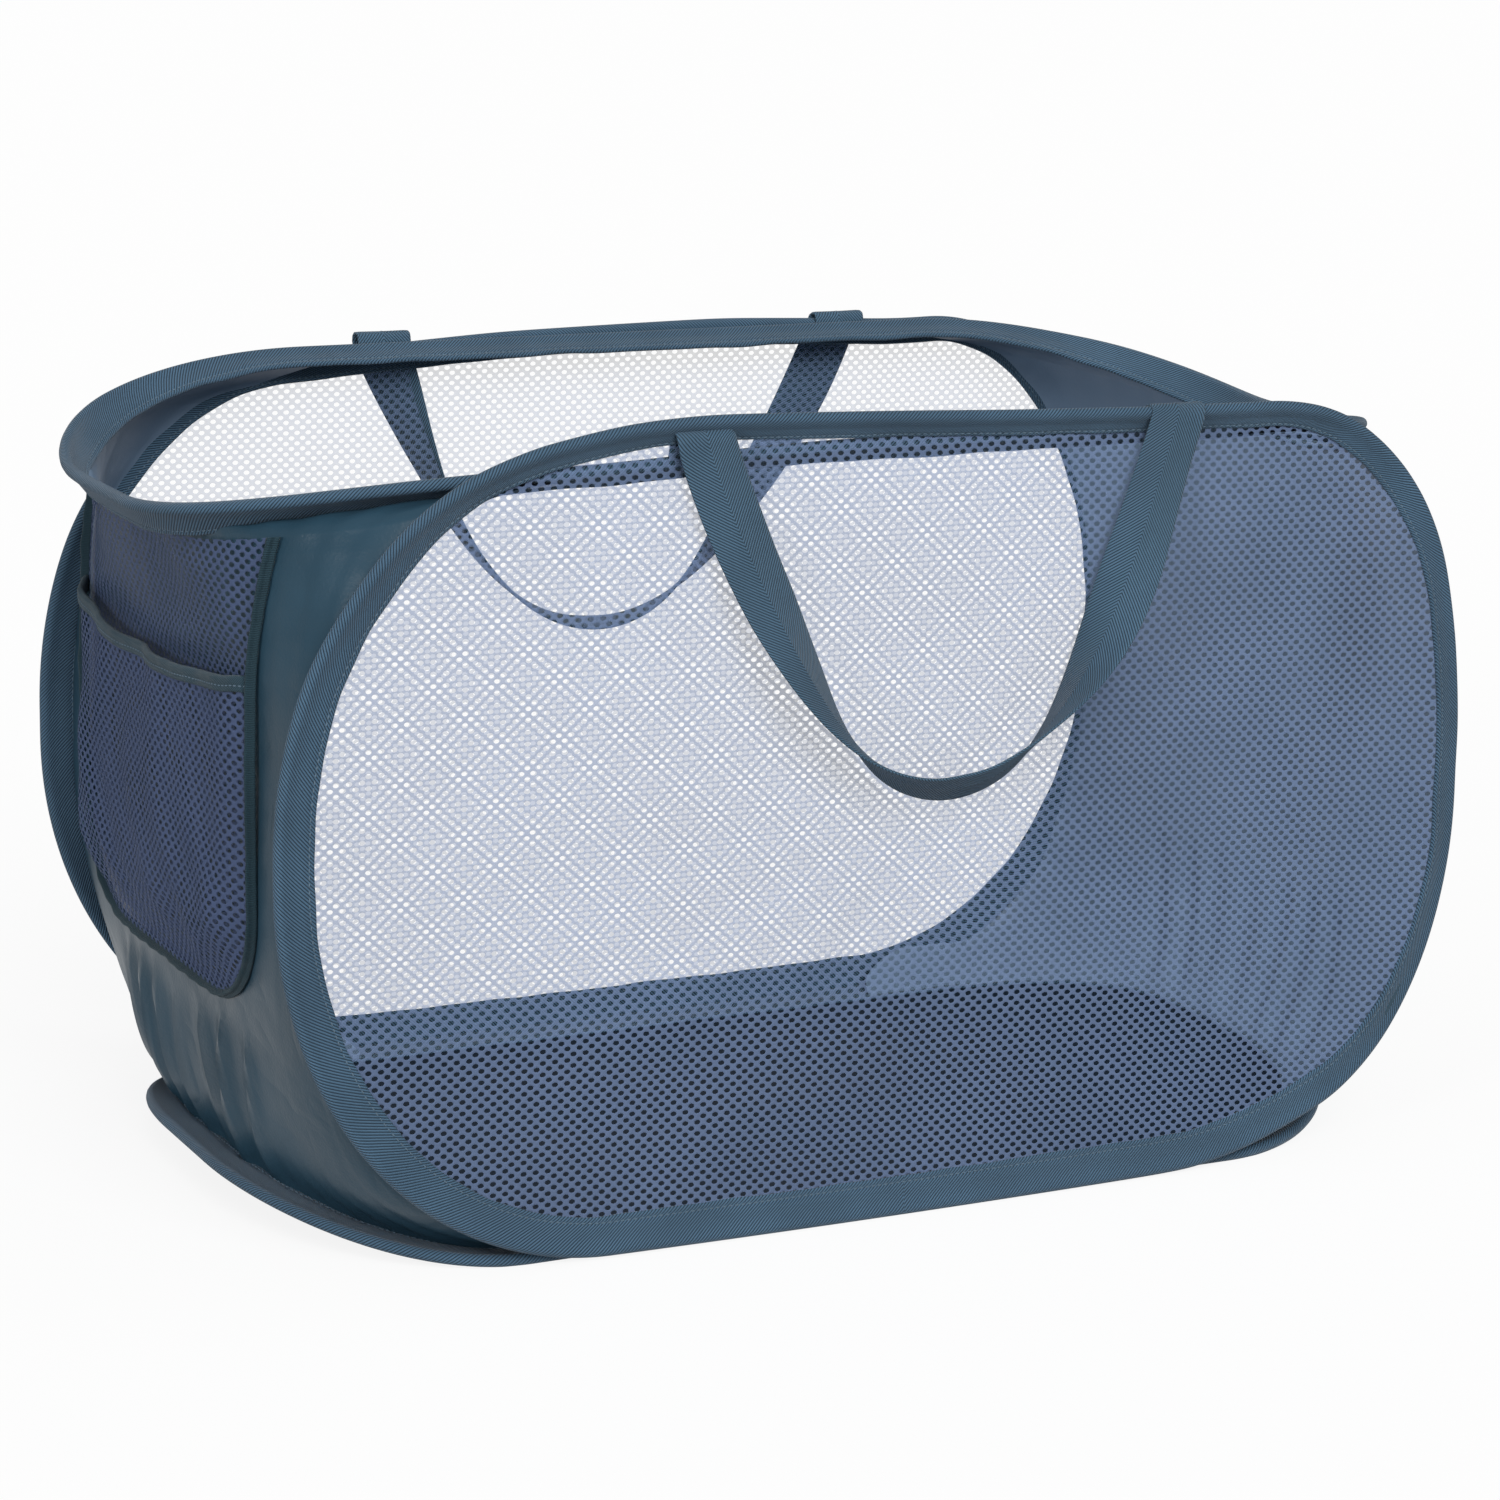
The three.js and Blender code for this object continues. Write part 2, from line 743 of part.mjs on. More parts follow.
function handleGeometry() {
  const frames = handleFrames();
  let wide = new THREE.Vector3(1, 0, 0);
  const sections = frames.map((frame) => {
    const turned = frame.wide.dot(wide) < 0;
    wide = turned ? frame.wide.clone().negate() : frame.wide;
    const thick = turned ? frame.thick.clone().negate() : frame.thick;
    return strapSection(frame.place, wide, thick);
  });
  return skin(sections, false);
}

function strapEnd(x) {
  const top = foldZ - strapThickness / 2 - pivotGap;
  const geometry = new THREE.BoxGeometry(strapWidth, strapThickness, top - topZ + handleTail);
  geometry.translate(x, seamY, (top + topZ - handleTail) / 2);
  return geometry;
}

function placeHandle(name, shift, turn) {
  const pieces = {
    handle: handleGeometry(),
    handle_left_end: strapEnd(-handleSpan / 2),
    handle_right_end: strapEnd(handleSpan / 2),
  };
  for (const [part, geometry] of Object.entries(pieces)) {
    if (turn) geometry.scale(-1, -1, 1);
    geometry.translate(shift, 0, 0);
  }
  addPiece(`${name}_handle`, pieces.handle, "webbing");
  addPiece(`${name}_handle_left_end`, pieces[turn ? "handle_right_end" : "handle_left_end"], "webbing");
  addPiece(`${name}_handle_right_end`, pieces[turn ? "handle_left_end" : "handle_right_end"], "webbing");
}

placeHandle("front", handleShift, true);
placeHandle("back", 0, false);

export default hamper;
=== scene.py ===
"""Pop up laundry hamper: the looks of its tape-bound hoops, nets, cloth ends, pocket and handles.

Sizes are in millimetres in the classes and become metres in the meshes. +Z is up, the long net sides
face -Y and +Y, and the pocket hangs on the -X end.
"""
from __future__ import annotations

import logging
import math
from dataclasses import dataclass, field
from enum import Enum

import bpy
import numpy as np
from mathutils import Matrix, Vector

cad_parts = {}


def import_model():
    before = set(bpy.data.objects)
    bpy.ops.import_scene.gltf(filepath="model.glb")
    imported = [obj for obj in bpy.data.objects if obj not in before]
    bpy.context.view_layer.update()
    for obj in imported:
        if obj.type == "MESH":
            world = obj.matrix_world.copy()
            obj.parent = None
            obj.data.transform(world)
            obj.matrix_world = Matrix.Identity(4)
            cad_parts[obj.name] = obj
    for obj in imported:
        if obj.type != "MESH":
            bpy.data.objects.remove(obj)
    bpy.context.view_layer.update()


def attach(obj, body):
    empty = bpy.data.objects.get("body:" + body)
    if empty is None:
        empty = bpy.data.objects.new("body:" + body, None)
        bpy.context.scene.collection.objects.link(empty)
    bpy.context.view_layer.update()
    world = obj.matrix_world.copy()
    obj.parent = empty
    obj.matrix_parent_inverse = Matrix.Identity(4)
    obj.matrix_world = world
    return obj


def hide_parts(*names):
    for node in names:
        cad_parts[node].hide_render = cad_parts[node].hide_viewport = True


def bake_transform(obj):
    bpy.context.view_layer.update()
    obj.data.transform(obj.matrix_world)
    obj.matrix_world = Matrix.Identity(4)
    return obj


LOG = logging.getLogger("hamper")
MM = 0.001
QUARTER = math.pi / 2
Array = np.ndarray
Feeds = dict[str | int, object]


# Small helpers for curves and meshes.


def smooth(value: Array | float) -> Array | float:
    """Eases a share from 0 to 1 with level ends."""
    share = np.clip(value, 0.0, 1.0)
    return share * share * (3.0 - 2.0 * share)


def unit(vectors: Array) -> Array:
    """Scales each row of vectors to length one."""
    return vectors / np.maximum(np.linalg.norm(vectors, axis=-1, keepdims=True), 1e-9)


def arc_lengths(points: Array, closed: bool) -> Array:
    """Gives the distance along a path at each point.

    Args:
        points: The path, one row for each point.
        closed: Whether the path returns to its first point.

    Returns:
        One distance for each point, and the whole length last where the path is closed.
    """
    path = np.vstack([points, points[:1]]) if closed else points
    steps = np.linalg.norm(np.diff(path, axis=0), axis=1)
    return np.concatenate([[0.0], np.cumsum(steps)])


def resample(points: Array, count: int, closed: bool) -> Array:
    """Spaces points evenly along a path.

    Args:
        points: The path, one row for each point.
        count: How many points are wanted.
        closed: Whether the path returns to its first point.

    Returns:
        The new points, one row each.
    """
    along = arc_lengths(points, closed)
    path = np.vstack([points, points[:1]]) if closed else points
    wanted = np.linspace(0.0, along[-1], count, endpoint=not closed)
    return np.stack([np.interp(wanted, along, path[:, k]) for k in range(path.shape[1])], axis=1)


def softened(values: Array, passes: int, closed: bool = False) -> Array:
    """Averages each value with its two neighbours.

    Args:
        values: The values, one row for each place.
        passes: How many times the averaging is done.
        closed: Whether the last value is the first one's neighbour. If not, both stay as they are.

    Returns:
        The softened values.
    """
    for _ in range(passes):
        if closed:
            values = values * 0.5 + (np.roll(values, 1, 0) + np.roll(values, -1, 0)) * 0.25
        else:
            values[1:-1] = values[1:-1] * 0.5 + (values[:-2] + values[2:]) * 0.25
    return values


def heading(azimuth: float, elevation: float) -> Vector:
    """Gives the direction from the hamper towards a place seen at two angles in degrees."""
    a, e = math.radians(azimuth), math.radians(elevation)
    return Vector((math.sin(a) * math.cos(e), -math.cos(a) * math.cos(e), math.sin(e)))


def add_object(name: str, data: bpy.types.ID) -> bpy.types.Object:
    """Makes an object of a mesh, a lamp or a camera and links it to the scene."""
    made = bpy.data.objects.new(name, data)
    bpy.context.scene.collection.objects.link(made)
    return made


def waves(along: Array, length: float, counts: tuple[int, ...], phase: float) -> Array:
    """Sums a few sine waves that fit a length a whole number of times.

    Args:
        along: Distances along the length.
        length: The whole length.
        counts: How many times each wave fits.
        phase: A shift that makes one use differ from another.

    Returns:
        Values of about -1 to 1.
    """
    total = np.zeros_like(along, dtype=float)
    for order, count in enumerate(counts):
        total += np.sin(2 * math.pi * count * along / length + phase * (order + 1.7)) / len(counts)
    return total


class Grid:
    """A mesh over rows and columns of points, open or closed either way."""

    def __init__(self, points: Array, wrap_rows: bool = False, wrap_columns: bool = False) -> None:
        """Keeps the points in millimetres, with an array shape of rows, columns and 3."""
        self.points = points
        self.wrap_rows = wrap_rows
        self.wrap_columns = wrap_columns

    def faces(self) -> list[tuple[int, int, int, int]]:
        """Gives the four corners of each face."""
        rows, columns = self.points.shape[:2]
        found = []
        for i in range(rows if self.wrap_rows else rows - 1):
            low, high = i * columns, ((i + 1) % rows) * columns
            for j in range(columns if self.wrap_columns else columns - 1):
                k = (j + 1) % columns
                found.append((low + j, high + j, high + k, low + k))
        return found

    def corner_uvs(self, along: Array, across: Array) -> Array:
        """Gives each face corner its distances along the rows and across the columns, in metres."""
        rows, columns = self.points.shape[:2]
        values = []
        for i in range(rows if self.wrap_rows else rows - 1):
            for j in range(columns if self.wrap_columns else columns - 1):
                u0, u1, v0, v1 = along[i], along[i + 1], across[j], across[j + 1]
                values.extend([u0, v0, u1, v0, u1, v1, u0, v1])
        return np.array(values) * MM


def make_piece(
    name: str,
    points: Array,
    faces: list[tuple[int, ...]],
    material: bpy.types.Material,
    uvs: Array | None = None,
    outward: bool = True,
) -> bpy.types.Object:
    """Makes a smooth-shaded mesh object at the origin.

    Args:
        name: The piece's name.
        points: The corners in millimetres.
        faces: The corner numbers of each face.
        material: The piece's finish.
        uvs: The UV values of each face corner, or None.
        outward: Turns a closed mesh so that its faces point out.

    Returns:
        The object, linked to the scene.
    """
    mesh = bpy.data.meshes.new(name)
    places = np.asarray(points, dtype=float).reshape(-1, 3) * MM
    if outward and signed_volume(places, faces) < 0:
        if uvs is not None:
            uvs = turned_uvs(uvs, faces)
        faces = [tuple(reversed(face)) for face in faces]
    mesh.from_pydata(places.tolist(), [], faces)
    mesh.polygons.foreach_set("use_smooth", [True] * len(mesh.polygons))
    if uvs is not None:
        layer = mesh.uv_layers.new(name="UVMap")
        layer.data.foreach_set("uv", np.asarray(uvs, dtype=np.float32).ravel())
    mesh.materials.append(material)
    mesh.update()
    return add_object(name, mesh)


def turned_uvs(uvs: Array, faces: list[tuple[int, ...]]) -> Array:
    """Puts each face's UV values in the reverse order."""
    pairs = np.asarray(uvs).reshape(-1, 2)
    order = []
    start = 0
    for face in faces:
        order.extend(range(start + len(face) - 1, start - 1, -1))
        start += len(face)
    return pairs[order].ravel()


def signed_volume(places: Array, faces: list[tuple[int, ...]]) -> float:
    """Gives the volume that the faces enclose, negative where they face inwards."""
    total = 0.0
    for face in faces:
        a = places[face[0]]
        for k in range(1, len(face) - 1):
            total += float(np.dot(a, np.cross(places[face[k]], places[face[k + 1]])))
    return total / 6.0


def swept_piece(name: str, sections: Array, closed: bool, material: bpy.types.Material) -> bpy.types.Object:
    """Skins closed sections along a path, with flat ends where the path is open.

    Args:
        name: The piece's name.
        sections: An array of path points, section points and 3, in millimetres.
        closed: Whether the path returns to its start.
        material: The piece's finish.

    Returns:
        The object, whose UV map runs along the path and round the section.
    """
    grid = Grid(sections, wrap_rows=closed, wrap_columns=True)
    along = arc_lengths(sections.mean(axis=1), closed)
    across = arc_lengths(sections[0], True)
    faces = grid.faces()
    uvs = grid.corner_uvs(along, across)
    if not closed:
        count = sections.shape[1]
        last = (sections.shape[0] - 1) * count
        for fan in (tuple(range(count - 1, -1, -1)), tuple(range(last, last + count))):
            faces.append(tuple(reversed(fan)))
            uvs = np.concatenate([uvs, np.zeros(2 * count)])
    return make_piece(name, sections, faces, material, uvs)


# Finishes.


class Tree:
    """Short ways to add nodes and links to a node tree."""

    def __init__(self, tree: bpy.types.NodeTree) -> None:
        """Keeps the tree to work on."""
        self.tree = tree

    def node(self, kind: str, feeds: Feeds | None = None, **settings: object) -> bpy.types.Node:
        """Adds a node.

        Args:
            kind: The node's type.
            feeds: What each named or numbered input is linked to or set to.
            settings: The node's own properties.

        Returns:
            The node.
        """
        made = self.tree.nodes.new(kind)
        for key, value in settings.items():
            setattr(made, key, value)
        for key, value in (feeds or {}).items():
            self.feed(made.inputs[key], value)
        return made

    def out(self, kind: str, feeds: Feeds | None = None, **settings: object) -> bpy.types.NodeSocket:
        """Adds a node and gives its first output."""
        return self.node(kind, feeds, **settings).outputs[0]

    def feed(self, socket: bpy.types.NodeSocket, value: object) -> None:
        """Links a socket to another, or sets its own value."""
        if isinstance(value, bpy.types.NodeSocket):
            self.tree.links.new(value, socket)
        else:
            socket.default_value = value

    def math(self, operation: str, *values: object) -> bpy.types.NodeSocket:
        """Adds a Math node and gives its output."""
        return self.out("ShaderNodeMath", dict(enumerate(values)), operation=operation)

    def ramp(self, value: object, low: float, high: float) -> bpy.types.NodeSocket:
        """Maps a value smoothly from low..high to 0..1."""
        feeds = {"Value": value, "From Min": low, "From Max": high}
        return self.out("ShaderNodeMapRange", feeds, interpolation_type="SMOOTHSTEP")

    def scaled(self, value: object, factor: float, shift: float) -> bpy.types.NodeSocket:
        """Multiplies a value by a factor and then adds a shift."""
        return self.math("ADD", self.math("MULTIPLY", value, factor), shift)

    def bump(self, shader: bpy.types.Node, height: object, strength: float, depth: float) -> None:
        """Raises a shader's surface by a height map, with its depth in millimetres."""
        feeds = {"Strength": strength, "Distance": depth * MM, "Height": height}
        self.feed(shader.inputs["Normal"], self.out("ShaderNodeBump", feeds))

    def blend_colours(self, share: object, first: object, second: object) -> bpy.types.NodeSocket:
        """Mixes two colours by a share."""
        return self.node("ShaderNodeMix", {0: share, 6: first, 7: second}, data_type="RGBA").outputs[2]


def shade(colour: tuple[float, ...], factor: float) -> tuple[float, ...]:
    """Makes a linear colour darker or paler."""
    return tuple(min(1.0, c * factor) for c in colour[:3]) + (1.0,)


def linear(red: int, green: int, blue: int) -> tuple[float, float, float, float]:
    """Turns a display colour of 0 to 255 into the renderer's linear colour."""
    values = []
    for level in (red, green, blue):
        share = level / 255.0
        values.append(share / 12.92 if share <= 0.04045 else ((share + 0.055) / 1.055) ** 2.4)
    return (values[0], values[1], values[2], 1.0)


class Weave(Enum):
    """How the raised lines of a woven finish run."""

    DIAGONAL = "diagonal"
    CHEVRON = "chevron"
    PLAIN = "plain"


class EffectGroups:
    """Shader node groups that more than one finish uses."""

    THREAD_PITCH = 0.0006

    def __init__(self) -> None:
        """Builds each group once."""
        self.lines = self.build_lines()
        self.mottle = self.build_mottle()
        self.holes = self.build_holes()

    @staticmethod
    def start(name: str, inputs: list[tuple[str, str, object]], outputs: list[tuple[str, str]]) -> Tree:
        """Starts a group with named sockets."""
        group = bpy.data.node_groups.new(name, "ShaderNodeTree")
        for label, kind, default in inputs:
            socket = group.interface.new_socket(label, in_out="INPUT", socket_type=kind)
            if default is not None:
                socket.default_value = default
        for label, kind in outputs:
            group.interface.new_socket(label, in_out="OUTPUT", socket_type=kind)
        return Tree(group)

    def build_lines(self) -> bpy.types.NodeTree:
        """Woven lines: raised threads that slant across the strip, turned back at its middle for chevrons."""
        work = self.start(
            "Woven lines",
            [
                ("Vector", "NodeSocketVector", None),
                ("Pitch", "NodeSocketFloat", 0.0014),
                ("Slope", "NodeSocketFloat", 1.0),
                ("Middle", "NodeSocketFloat", 0.0),
            ],
            [("Height", "NodeSocketFloat"), ("Valley", "NodeSocketFloat")],
        )
        source = work.node("NodeGroupInput")
        split = work.node("ShaderNodeSeparateXYZ", {0: source.outputs["Vector"]})
        folded = work.math("ABSOLUTE", work.math("SUBTRACT", split.outputs[1], source.outputs["Middle"]))
        slant = work.math("MULTIPLY", folded, source.outputs["Slope"])
        place = work.math("DIVIDE", work.math("ADD", split.outputs[0], slant), source.outputs["Pitch"])
        wave = work.math("SINE", work.math("MULTIPLY", place, 2 * math.pi))
        across = work.math("DIVIDE", split.outputs[1], self.THREAD_PITCH)
        thread = work.math("SINE", work.math("MULTIPLY", across, 2 * math.pi))
        height = work.math("ADD", work.math("MULTIPLY", wave, 0.42), work.math("MULTIPLY", thread, 0.08))
        # The valley share marks the grooves between threads, where the finish paints shade.
        valley_shade = work.ramp(wave, 0.25, -0.85)
        work.node("NodeGroupOutput", {"Height": work.math("ADD", height, 0.5), "Valley": valley_shade})
        return work.tree

    def build_mottle(self) -> bpy.types.NodeTree:
        """Slow, cloudy differences of shade and a fine grain."""
        work = self.start(
            "Cloth mottle",
            [("Vector", "NodeSocketVector", None), ("Scale", "NodeSocketFloat", 18.0)],
            [("Cloud", "NodeSocketFloat"), ("Grain", "NodeSocketFloat")],
        )
        source = work.node("NodeGroupInput")
        place, scale = source.outputs["Vector"], source.outputs["Scale"]
        fine = work.math("MULTIPLY", scale, 45.0)
        cloud = work.out("ShaderNodeTexNoise", {"Vector": place, "Scale": scale, "Detail": 3.0})
        grain = work.out("ShaderNodeTexNoise", {"Vector": place, "Scale": fine, "Detail": 2.0})
        work.node("NodeGroupOutput", {"Cloud": work.ramp(cloud, 0.3, 0.7), "Grain": grain})
        return work.tree

    def build_holes(self) -> bpy.types.NodeTree:
        """The knitted net: staggered oval holes between strands, in the first two coordinates."""
        work = self.start(
            "Knitted net",
            [
                ("Vector", "NodeSocketVector", None),
                ("Pitch X", "NodeSocketFloat", 0.0059),
                ("Pitch Y", "NodeSocketFloat", 0.0053),
                ("Hole X", "NodeSocketFloat", 0.0030),
                ("Hole Y", "NodeSocketFloat", 0.0022),
            ],
            [("Strand", "NodeSocketFloat"), ("Height", "NodeSocketFloat")],
        )
        source = work.node("NodeGroupInput")
        split = work.node("ShaderNodeSeparateXYZ", {0: source.outputs["Vector"]})

        def distance(shift: float) -> bpy.types.NodeSocket:
            """How far a point is from the nearest hole of one lattice, as a share of the hole."""
            squares = []
            for axis, pitch, hole in ((0, "Pitch X", "Hole X"), (1, "Pitch Y", "Hole Y")):
                cell = work.math("DIVIDE", split.outputs[axis], source.outputs[pitch])
                near = work.math("WRAP", work.math("ADD", cell, shift), 0.5, -0.5)
                size = work.math("MULTIPLY", near, source.outputs[pitch])
                share = work.math("DIVIDE", size, work.math("MULTIPLY", source.outputs[hole], 0.5))
                squares.append(work.math("MULTIPLY", share, share))
            return work.math("SQRT", work.math("ADD", *squares))

        nearest = work.math("MINIMUM", distance(0.0), distance(0.5))
        strand, height = work.ramp(nearest, 0.86, 1.12), work.ramp(nearest, 0.9, 1.7)
        work.node("NodeGroupOutput", {"Strand": strand, "Height": height})
        return work.tree

    @staticmethod
    def place(work: Tree, group: bpy.types.NodeTree, **values: object) -> bpy.types.Node:
        """Places a group in a material, with its inputs linked or set."""
        return work.node("ShaderNodeGroup", values, node_tree=group)


def new_material(name: str) -> tuple[bpy.types.Material, Tree, bpy.types.Node]:
    """Makes a node material.

    Args:
        name: The finish's name.

    Returns:
        The material, its tree, and its shader node.
    """
    material = bpy.data.materials.new(name)
    material.use_nodes = True
    work = Tree(material.node_tree)
    return material, work, material.node_tree.nodes["Principled BSDF"]


@dataclass(frozen=True)
class WovenFinish:
    """Tape, webbing or piping with slanting threads, on the piece's own UV map."""

    name: str
    colour: tuple[int, int, int]
    weave: Weave
    pitch: float = 1.4
    slope: float = 1.0
    middle: float = 0.0
    contrast: float = 0.3
    depth: float = 0.35
    roughness: float = 0.72
    sheen: float = 0.14

    def build(self, effects: EffectGroups) -> bpy.types.Material:
        """Builds the material: threads raise the surface, and the valleys between them get painted shade."""
        material, work, shader = new_material(self.name)
        coordinates = work.node("ShaderNodeTexCoord")
        lines = effects.place(
            work,
            effects.lines,
            Vector=coordinates.outputs["UV"],
            Pitch=self.pitch * MM,
            Slope=0.0 if self.weave is Weave.PLAIN else self.slope,
            Middle=self.middle * MM if self.weave is Weave.CHEVRON else -1.0,
        )
        mottle = effects.place(work, effects.mottle, Vector=coordinates.outputs["Object"], Scale=26.0)
        base = linear(*self.colour)
        clouded = work.blend_colours(mottle.outputs["Cloud"], base, shade(base, 1.2))
        # Painted shade: the colour darkens in the grooves between threads, by the contrast share.
        threads = work.blend_colours(lines.outputs["Valley"], clouded, shade(base, 1.0 - self.contrast))
        work.feed(shader.inputs["Base Color"], threads)
        rough = work.scaled(mottle.outputs["Grain"], 0.12, self.roughness - 0.06)
        work.feed(shader.inputs["Roughness"], rough)
        shader.inputs["Sheen Weight"].default_value = self.sheen
        shader.inputs["Sheen Roughness"].default_value = 0.4
        shader.inputs["Specular IOR Level"].default_value = 0.2
        work.bump(shader, lines.outputs["Height"], 0.7, self.depth)
        return material


@dataclass(frozen=True)
class NetFinish:
    """Knitted net with open oval holes and thin, see-through strands, made thinner where seen from the
    hamper's inside as painted backlight.
    """

    name: str
    strand: tuple[float, float, float]
    cover: float = 0.5
    flat_axes: tuple[int, int] = (0, 2)
    inner_cover: float = 1.0
    roughness: float = 0.7

    def build(self, effects: EffectGroups) -> bpy.types.Material:
        """Builds the material from the piece's object coordinates, so that the holes stay in line."""
        material, work, shader = new_material(self.name)
        coordinates = work.node("ShaderNodeTexCoord")
        split = work.node("ShaderNodeSeparateXYZ", {0: coordinates.outputs["Object"]})
        across, up = (split.outputs[axis] for axis in self.flat_axes)
        net = effects.place(work, effects.holes, Vector=work.out("ShaderNodeCombineXYZ", {0: across, 1: up}))
        mottle = effects.place(work, effects.mottle, Vector=coordinates.outputs["Object"], Scale=9.0)
        base = (*self.strand, 1.0)
        clouded = work.blend_colours(mottle.outputs["Cloud"], shade(base, 0.86), base)
        work.feed(shader.inputs["Base Color"], clouded)
        cover = work.scaled(mottle.outputs["Grain"], 0.12, self.cover - 0.06)
        # Painted backlight: seen from the hamper's inside, the strands are thinned so that more of the bright
        # surroundings shows, as if lit from behind.
        inner = work.node("ShaderNodeNewGeometry").outputs["Backfacing"]
        backlit_thinning = work.scaled(inner, self.inner_cover - 1.0, 1.0)
        strands = work.math("MULTIPLY", net.outputs["Strand"], cover)
        work.feed(shader.inputs["Alpha"], work.math("MULTIPLY", strands, backlit_thinning))
        shader.inputs["Roughness"].default_value = self.roughness
        shader.inputs["Specular IOR Level"].default_value = 0.12
        work.bump(shader, net.outputs["Height"], 0.5, 0.3)
        return material


@dataclass(frozen=True)
class ClothFinish:
    """Close-woven coated cloth with a satin shine and faint creases, and a much paler inner face that is
    painted light shining through the cloth.
    """

    name: str
    colour: tuple[int, int, int]
    # The inner face's colour: painted light, paler as if lit through the cloth.
    inner: tuple[int, int, int]
    roughness: float = 0.42
    gloss: float = 0.3

    def build(self, effects: EffectGroups) -> bpy.types.Material:
        """Builds the material: a fine grain, soft creases and uneven shine."""
        material, work, shader = new_material(self.name)
        coordinates = work.node("ShaderNodeTexCoord")
        mottle = effects.place(work, effects.mottle, Vector=coordinates.outputs["Object"], Scale=14.0)
        base = linear(*self.colour)
        outside = work.blend_colours(mottle.outputs["Cloud"], base, shade(base, 1.22))
        # Painted light: the inner face takes a paler colour that stands in for light shining through the thin
        # cloth.
        backing = work.node("ShaderNodeNewGeometry").outputs["Backfacing"]
        work.feed(shader.inputs["Base Color"], work.blend_colours(backing, outside, linear(*self.inner)))
        rough = work.scaled(mottle.outputs["Cloud"], 0.14, self.roughness - 0.07)
        work.feed(shader.inputs["Roughness"], rough)
        shader.inputs["Specular IOR Level"].default_value = self.gloss
        feeds = {"Vector": coordinates.outputs["Object"], "Scale": 16.0, "Detail": 2.0, "Distortion": 0.8}
        crease = work.out("ShaderNodeTexNoise", feeds)
        folds = work.math("ABSOLUTE", work.math("SUBTRACT", crease, 0.5))
        grain = work.math("MULTIPLY", mottle.outputs["Grain"], 0.25)
        work.bump(shader, work.math("ADD", work.math("MULTIPLY", folds, 5.0), grain), 0.55, 1.1)
        return material


@dataclass(frozen=True)
class SteelFinish:
    """Drawn spring wire."""

    name: str = "drawn steel wire"

    def build(self, effects: EffectGroups) -> bpy.types.Material:
        """Builds the material: bright steel with fine uneven polish."""
        material, work, shader = new_material(self.name)
        coordinates = work.node("ShaderNodeTexCoord")
        mottle = effects.place(work, effects.mottle, Vector=coordinates.outputs["Object"], Scale=60.0)
        colour = work.blend_colours(mottle.outputs["Cloud"], linear(168, 172, 175), linear(196, 199, 201))
        work.feed(shader.inputs["Base Color"], colour)
        work.feed(shader.inputs["Roughness"], work.scaled(mottle.outputs["Grain"], 0.2, 0.25))
        shader.inputs["Metallic"].default_value = 1.0
        return material


class Finishes:
    """Every finish of the hamper, built once."""

    def __init__(self) -> None:
        """Builds the shared effects and then the materials."""
        effects = EffectGroups()
        self.tape = WovenFinish(
            "twill tape", (70, 97, 119), Weave.DIAGONAL, pitch=1.8, contrast=0.72, depth=0.5
        ).build(effects)
        self.webbing = WovenFinish(
            "herringbone webbing", (71, 98, 119), Weave.CHEVRON,
            pitch=1.8, middle=14.6, slope=1.1, contrast=0.7, depth=0.6,
        ).build(effects)
        self.piping = WovenFinish(
            "dark folded piping", (32, 55, 65), Weave.PLAIN, pitch=0.8, contrast=0.25, sheen=0.08
        ).build(effects)
        self.mouth = WovenFinish(
            "pocket mouth tape", (46, 68, 80), Weave.DIAGONAL, pitch=1.2, sheen=0.1
        ).build(effects)
        self.thread = WovenFinish(
            "sewing thread", (84, 103, 118), Weave.PLAIN, pitch=0.5, contrast=0.2, depth=0.1
        ).build(effects)
        # The side net's thinner cover on its inner face is painted backlight.
        self.side_net = NetFinish("side net", (0.2, 0.28, 0.47), cover=0.5, inner_cover=0.66).build(effects)
        self.pocket_net = NetFinish(
            "pocket net", (0.085, 0.12, 0.23), cover=0.78, flat_axes=(1, 2)
        ).build(effects)
        # The end cloth's pale second colour is painted light on its inner face.
        self.cloth = ClothFinish("satin coated cloth", (38, 63, 78), (98, 118, 140), gloss=0.2).build(effects)
        # Painted shade: the floor cloth is a much darker copy of the end cloth, standing in for the shade
        # inside the hamper.
        self.floor_cloth = ClothFinish(
            "matt floor cloth", (22, 35, 48), (30, 44, 56), roughness=0.6, gloss=0.15
        ).build(effects)
        self.steel = SteelFinish().build(effects)


# Stitches, made by Geometry Nodes along a path.


